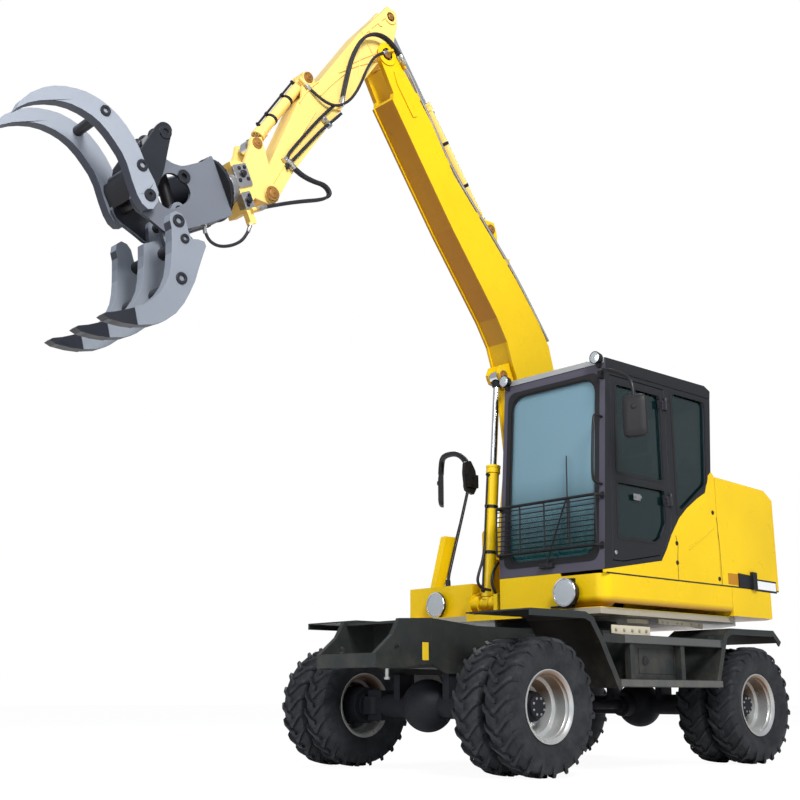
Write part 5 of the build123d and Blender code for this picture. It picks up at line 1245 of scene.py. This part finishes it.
# Rows of x, y from the arm's middle plane and z for the pipes of the stick
STICK_PIPES = [
    [(800, 98, 4650), (880, 98, 4560), (968, 94, 4470), (1140, 94, 4250), (1226, 94, 4140), (1258, 90, 4102)],
    [(870, 98, 4690), (950, 98, 4600), (1030, 94, 4500), (1200, 94, 4270), (1296, 94, 4130),
     (1262, 90, 4060)],
]
routes = [[(x, ARM_Y + y, z) for x, y, z in line] for line in STICK_PIPES]
rails("stick_pipes", "stick", M["dark_steel"], routes, 12)
bosses = Piece("stick_bosses", "stick", M["pale_yellow"])
for x, z, radius in ((403, 5576, 26), (495, 5468, 24), (*STICK_REAR_PIN, 62), (*BOOM_TIP, 78)):
    rows = [(0, radius), (8, radius), (10, radius - 3), (10, 0.1)]
    for hand in (-1, 1):
        bosses.turned((x, ARM_Y + hand * (STICK_HALF - 1), z), (0, hand, 0), rows, 36, whole=False)
bosses.finish(0.8)

# Boom: brackets and pipes along its rear edge, and thicker plates at its tip
boom_side_y = ARM_Y + 118
trims = Piece("boom_brackets", "boom", M["yellow"])
for x, z in ((-960, 3935), (-640, 4260), (-300, 4610), (30, 5060)):
    trims.box((x - 30, x + 30), (ARM_Y + 60, ARM_Y + 112), (z - 20, z + 34))
for low, high in ((boom_side_y - 1, boom_side_y + 9), (ARM_Y - 127, ARM_Y - 117)):
    trims.turned((BOOM_TIP[0], (low + high) / 2 - 5, BOOM_TIP[1]), (0, 1, 0), [(0, 92), (10, 92)], 48)
    trims.plate([(60, 4880), (100, 4860), (270, 5090), (300, 5180), (270, 5200)], low, high)
trims.finish(2.5)
BOOM_PIPE = [
    (-1440, 3360), (-1310, 3530), (-1050, 3852), (-740, 4166), (-330, 4570), (-100, 4920), (60, 5130),
]
rails("boom_pipes", "boom", M["steel"], [
    [(x, ARM_Y + out, z) for x, z in BOOM_PIPE] + [(150, ARM_Y + out + 20, 5240), (214, -20, 5280)]
    for out in (92, 112)
], 10)


# Hood and skirt: joint lines, locks, the fold, and the band with its catch

def seam(piece, route, side=CAB_SIDE, width=5.0, proud=1.0):
    """A thin dark joint line on an upright side, along a route of x and z."""
    hand = 1 if side > 0 else -1
    edges = []
    for step, (x, z) in enumerate(route):
        before, after = route[max(0, step - 1)], route[min(len(route) - 1, step + 1)]
        run = Vector((after[0] - before[0], after[1] - before[1])).normalized() * width / 2
        edges.append(((x - run.y, z + run.x), (x + run.y, z - run.x)))
    for (a, b), (c, d) in zip(edges, edges[1:]):
        piece.plate([a, c, d, b], side - hand * 3, side + hand * proud)


def lock(piece, x, z, side=CAB_SIDE):
    """A round lock with a slot."""
    hand = 1 if side > 0 else -1
    rows = [(0, 17), (4, 17), (6, 14), (4, 11), (3, 0.1)]
    piece.turned((x, side - hand, z), (0, hand, 0), rows, 32, whole=False)
    piece.box((x - 2, x + 2), (side + hand * 2, side + hand * 3.5), (z - 8, z + 8))


seams = Piece("hood_seams", "upper", M["black"])
seam(seams, [(-2090, 1830), (-2096, 1796), (-2113, 1609), (-2118, 1318)])
seam(seams, [(-1541, 1640), (-1562, 1562), (-1550, 1470), (-1546, 1318)])
seam(seams, [(-702, 1313), (-1508, 1311), (-2924, 1310)], width=11.0)
seam(seams, [(-2098, 1896), (-2102, 1600), (-2104, 1318)], -CAB_SIDE)
seam(seams, [(-1650, 1313), (-2300, 1312), (-2924, 1311)], -CAB_SIDE, 11.0)
for x, z in ((-2046, 1862), (-1549, 1584), (-1542, 1441), (-2082, 1358)):
    lock(seams, x, z)
for x, z in ((-2160, 1780), (-2160, 1420), (-2860, 1780)):
    lock(seams, x, z, -CAB_SIDE)
seams.finish(0.4)
fold = Piece("side_fold", "upper", M["yellow"])
seam(fold, [(-1700, 1552), (-1790, 1602), (-1885, 1651), (-1975, 1705), (-2060, 1757)], width=16.0, proud=3.0)
fold.finish(3.0)
# A dark orange plate where the band sits in a recess: painted shade
band_back = Piece("band_recess_painted_shade", "upper", M["recess_shade"])
band_back.plate([(-2201, 1326), (-2201, 1412), (-2350, 1412), (-2350, 1324)], 1033, 1036)
band_back.finish(0.6)
strip = Piece("band_strip", "upper", M["white"])
strip.plate([(-2585, 1312), (-2585, 1378), (-2884, 1372), (-2884, 1308)], 1034, 1038.5)
strip.finish(0.8)
catch = Piece("band_catch", "upper", M["black"])
catch.plate([(-2342, 1316), (-2342, 1419), (-2527, 1410), (-2527, 1312)], 1033, 1046)
catch.plate([(-2515, 1302), (-2515, 1439), (-2572, 1436), (-2572, 1300)], 1033, 1064)
catch.plate([(-2572, 1296), (-2572, 1392), (-2896, 1386), (-2896, 1292)], 1033, 1036.5)
catch.finish(3.0)

# Rear: door seams and air slots, with a filler cap on the right-hand tank cover
TAIL_X = -2924
louvres = Piece("rear_slots", "upper", M["black"])


def rear_bar(y_low, y_high, z_low, z_high, depth=3):
    """A flat bar on the rear face."""
    corners = ((y_low, z_low), (y_high, z_low), (y_high, z_high), (y_low, z_high))
    louvres.solid([(TAIL_X, y, z) for y, z in corners], (-depth, 0, 0))


for low, high in ((-460, -120), (120, 460)):
    for row in range(8):
        z = 1760 + row * 34
        rear_bar(low, high, z, z + 14, 4)
for low, high in ((-612, -606), (606, 612), (-3, 3)):
    rear_bar(low, high, 1712, 2080)
for z in (1712, 2074):
    rear_bar(-612, 612, z, z + 6)
louvres.finish(0.5)
CAP_X, CAP_Y = -1860, -690
filler = Piece("tank_cap", "upper", M["black"])
filler.turned((CAP_X, CAP_Y, 1899), (0, 0, 1), [(0, 66), (6, 66), (10, 52), (34, 52), (40, 46)], 40)
for c, s in round_steps(12):
    x, y = CAP_X + 52 * c, CAP_Y + 52 * s
    filler.bar((x, y, 1910), (x, y, 1932), 5, 10)
filler.finish(1.5)

# Hoses at the lift cylinders' feet
rails("lift_hoses", "upper", M["hose"], [
    [(-633, -40, 1582), (-610, -38, 1480), (-560, -36, 1380), (-540, -36, 1310), (-600, -40, 1262),
     (-690, -44, 1262)],
    [(-772, -36, 1472), (-716, -32, 1410), (-690, -30, 1338), (-702, -32, 1280), (-740, -36, 1240)],
], 11)

# Chassis: plates and bolts between the skirt and the frame, blank plate, tow pin, step edges and locker rims
cream = Piece("deck_plates", "chassis", M["cream"])
cream.plate([(-719, 905), (-719, 962), (-1148, 962), (-1148, 902), (-900, 898)], 1040, 1048)
cream.plate([(-1450, 1000), (-1450, 1038), (-2010, 1030), (-2010, 985), (-1850, 996)], 900, 908)
cream.plate([(-1180, 1000), (-1180, 1030), (-1440, 1036), (-1440, 1004)], 820, 828)
cream.finish(1.5)
cream_bolts = Piece("deck_plate_bolts", "chassis", M["steel"])
for x in (-760, -850, -940, -1020, -1100):
    cream_bolts.bolt((x, 1048, 930), (0, 1, 0), 11)
for x in (-1500, -1560, -1680, -1740, -1860, -1960):
    cream_bolts.bolt((x, 908, 1014), (0, 1, 0), 9)
cream_bolts.finish(0.8)
badge = Piece("blank_plate", "chassis", M["warning"])
badge.plate([(336, 722), (336, 838), (280, 838), (280, 722)], 299.5, 303)
badge.finish(4.0)
tow = Piece("tow_pin", "chassis", M["steel"])
tow.bar((645, 300, 600), (645, 300, 664), 13)
tow.turned((645, 300, 596), (0, 0, 1), [(0, 16), (4, 20), (14, 20), (18, 16)], 28)
tow.finish(1.5)
edges_piece = Piece("step_edges", "chassis", M["charcoal_light"])
boss = Piece("locker_bosses", "chassis", M["black"])
STEP_FACE, LOCKER_FACE = 1119, 1059
LOCKER_BOSS = [(0, 34), (5, 34), (7, 28), (5, 20), (5, 0.1)]
for hand in (-1, 1):
    for x, z_low, z_high in ((-760, 842, 892), (-700, 556, 600)):
        edges_piece.box((x, -1900), sorted((hand * STEP_FACE, hand * (STEP_FACE + 3))), (z_low, z_high))
    boss.turned((-1061, hand * LOCKER_FACE, 728), (0, hand, 0), LOCKER_BOSS, 36, whole=False)
    rim = sorted((hand * LOCKER_FACE, hand * (LOCKER_FACE + 3)))
    for x, z in (
        ((-980, -1390), (640, 646)), ((-980, -1390), (806, 812)), ((-980, -986), (640, 812)),
        ((-1384, -1390), (640, 812)),
    ):
        boss.box(x, rim, z)
edges_piece.finish(1.0)
boss.finish(0.8)

# Inside the cab: extinguisher, with the seat made as padded cloth
BOTTLE_X, BOTTLE_Y, BOTTLE_Z = -1900, 905, 2040
bottle = Piece("extinguisher", "upper", M["red"])
bottle_rows = [(0, 40), (6, 46), (176, 46), (196, 38), (208, 18), (222, 16)]
bottle.turned((BOTTLE_X, BOTTLE_Y, BOTTLE_Z), (0, 0, 1), bottle_rows, 40)
bottle.finish(1.0)
label = Piece("extinguisher_blank", "upper", M["white"])
label.turned((BOTTLE_X, BOTTLE_Y, BOTTLE_Z + 40), (0, 0, 1), [(0, 46.6), (84, 46.6)], 40, whole=False)
label.finish(0)
valve = Piece("extinguisher_valve", "upper", M["black"])
valve.turned((BOTTLE_X, BOTTLE_Y, BOTTLE_Z + 220), (0, 0, 1), [(0, 17), (18, 17), (20, 10), (30, 10)], 28)
valve.plate([(-1880, 2280), (-1950, 2296), (-1950, 2304), (-1880, 2290)], BOTTLE_Y - 7, BOTTLE_Y + 7)
valve.box((-1948, -1938), (BOTTLE_Y - 15, BOTTLE_Y + 15), (2000, 2250))
valve.finish(1.2)
ring = [(BOTTLE_X + 48 * c, BOTTLE_Y + 48 * s) for c, s in round_steps(12)]
routes = [[(x, y, z) for x, y in ring + ring[:1]] for z in (2072, 2190)]
rails("extinguisher_bands", "upper", M["steel"], routes, 3)


CLOTH_FRAMES = 20
PADDING_IN = 12


def settle(thing):
    """Writes what the modifiers make into the mesh itself."""
    made = mesh_of(thing)
    thing.modifiers.clear()
    thing.data = made


def swollen(name, outline, y, cap, body="upper"):
    """A cushion from its side outline: filled with air as cloth, held to a cap in metres, then smoothed."""
    shell = Piece(name, body, M["fabric"])
    shell.plate(shrink(soften(outline, 26, 4), PADDING_IN), y[0] + PADDING_IN, y[1] - PADDING_IN)
    thing = shell.made()
    remesh = thing.modifiers.new("voxels", "REMESH")
    remesh.mode, remesh.voxel_size = "VOXEL", 0.008
    settle(thing)
    start = [vertex.co.copy() for vertex in thing.data.vertices]
    cloth = thing.modifiers.new("cloth", "CLOTH")
    cloth.settings.use_pressure = True
    cloth.settings.uniform_pressure_force = 4.0
    cloth.settings.effector_weights.gravity = 0.0
    scene = bpy.context.scene
    for frame_number in range(1, CLOTH_FRAMES + 1):
        scene.frame_set(frame_number)
    settle(thing)
    scene.frame_set(1)
    for vertex, place in zip(thing.data.vertices, start):
        move = vertex.co - place
        if move.length > cap:
            vertex.co = place + move.normalized() * cap
    smooth = thing.modifiers.new("smooth", "SUBSURF")
    smooth.levels = smooth.render_levels = 1
    settle(thing)
    thing.data.materials.clear()
    thing.data.materials.append(M["fabric"])
    for face in thing.data.polygons:
        face.use_smooth = True
    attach(thing, body)
    return thing


CUSHION = [(-1640, 1600), (-1160, 1600), (-1150, 1690), (-1200, 1722), (-1640, 1716)]
BACKREST = [(-1660, 1700), (-1560, 1700), (-1690, 2352), (-1800, 2340)]
HEADREST = [(-1712, 2352), (-1800, 2345), (-1840, 2530), (-1760, 2545)]
cushion = swollen("seat_cushion", CUSHION, (350, 740), 0.014)
swollen("seat_back", BACKREST, (360, 730), 0.014)
swollen("seat_headrest", HEADREST, (430, 660), 0.010)
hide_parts("seat")
PIPING = [(-1150, 1660), (-1180, 1708), (-1300, 1727), (-1450, 1727), (-1610, 1722)]
rails("seat_piping", "upper", M["plastic"], [[(x, y, z) for x, z in PIPING] for y in (372, 718)], 3)


# Stage, lights and camera

def stage():
    """A pale floor that shows near white to the camera and still takes shadows."""
    floor = Nodes("studio_floor")
    tone = floor.ramp(floor.noise(0.6, 2.0), [(0.3, (0.90, 0.90, 0.90)), (0.7, (0.93, 0.93, 0.93))])
    floor.set(Base_Color=tone, Roughness=0.9)
    lit = floor.add("ShaderNodeEmission")
    lit.inputs["Strength"].default_value = 1.05
    lit.inputs["Color"].default_value = (1.0, 1.0, 1.0, 1)
    blend = floor.add("ShaderNodeMixShader")
    sight = floor.add("ShaderNodeLightPath")
    part = floor.maths("MULTIPLY", sight.outputs["Is Camera Ray"], 0.90)
    floor.link(part, blend.inputs[0])
    floor.link(floor.shader.outputs[0], blend.inputs[1])
    floor.link(lit.outputs[0], blend.inputs[2])
    floor.link(blend.outputs[0], floor.tree.nodes["Material Output"].inputs["Surface"])
    mesh = bpy.data.meshes.new("floor")
    mesh.from_pydata([(-60, -60, 0), (60, -60, 0), (60, 60, 0), (-60, 60, 0)], [], [(0, 1, 2, 3)])
    ground = bpy.data.objects.new("floor", mesh)
    mesh.materials.append(floor.material)
    bpy.context.scene.collection.objects.link(ground)


def world():
    """White behind the machine, with a softer and bluer light from all round."""
    sky = bpy.data.worlds.new("studio")
    sky.use_nodes = True
    tree = sky.node_tree
    background = tree.nodes["Background"]
    background.inputs["Color"].default_value = (0.86, 0.90, 0.96, 1)
    background.inputs["Strength"].default_value = 0.46
    white = tree.nodes.new("ShaderNodeBackground")
    white.inputs["Strength"].default_value = 1.0
    white.inputs["Color"].default_value = (1, 1, 1, 1)
    path = tree.nodes.new("ShaderNodeLightPath")
    either = tree.nodes.new("ShaderNodeMath")
    either.operation = "MAXIMUM"
    tree.links.new(path.outputs["Is Camera Ray"], either.inputs[0])
    tree.links.new(path.outputs["Is Transmission Ray"], either.inputs[1])
    mix = tree.nodes.new("ShaderNodeMixShader")
    tree.links.new(either.outputs[0], mix.inputs[0])
    tree.links.new(background.outputs[0], mix.inputs[1])
    tree.links.new(white.outputs[0], mix.inputs[2])
    tree.links.new(mix.outputs[0], tree.nodes["World Output"].inputs["Surface"])
    bpy.context.scene.world = sky


def lamp(name, place, target, size, power, colour=(1, 1, 1)):
    """A round soft lamp that points at a target."""
    light = bpy.data.lights.new(name, "AREA")
    light.shape = "DISK"
    light.size = size
    light.energy = power
    light.color = colour
    thing = bpy.data.objects.new(name, light)
    thing.location = place
    thing.rotation_euler = (Vector(target) - Vector(place)).to_track_quat("-Z", "Y").to_euler()
    bpy.context.scene.collection.objects.link(thing)


# The camera as fitted to the photograph: place in mm, turns in degrees, focal length and width in pixels
CAMERA_PLACE = (5703.0, 5997.0, 488.0)
CAMERA_YAW, CAMERA_PITCH = -132.218, 14.33
FOCAL_PIXELS, PHOTO_PIXELS = 1162.5, 800.0
SENSOR_WIDTH = 36.0


def camera():
    """The photograph's camera."""
    lens = bpy.data.cameras.new("camera")
    lens.sensor_width = SENSOR_WIDTH
    lens.sensor_fit = "HORIZONTAL"
    lens.lens = FOCAL_PIXELS * SENSOR_WIDTH / PHOTO_PIXELS
    thing = bpy.data.objects.new("camera", lens)
    thing.location = metres(CAMERA_PLACE)
    yaw, pitch = radians(CAMERA_YAW), radians(CAMERA_PITCH)
    sight = Vector((cos(yaw) * cos(pitch), sin(yaw) * cos(pitch), sin(pitch)))
    thing.rotation_euler = sight.to_track_quat("-Z", "Y").to_euler()
    bpy.context.scene.collection.objects.link(thing)
    bpy.context.scene.camera = thing


stage()
world()
lamp("key", (4.0, 9.5, 9.0), (-0.5, 0.0, 2.0), 4.0, 1450, (1.0, 0.98, 0.95))
lamp("fill", (9.0, 1.0, 5.0), (0.0, 0.0, 2.5), 5.0, 300, (0.95, 0.97, 1.0))
lamp("back", (-7.0, -6.0, 8.0), (-0.5, 0.0, 2.0), 5.0, 650)
camera()
bpy.context.scene.view_settings.view_transform = "Standard"
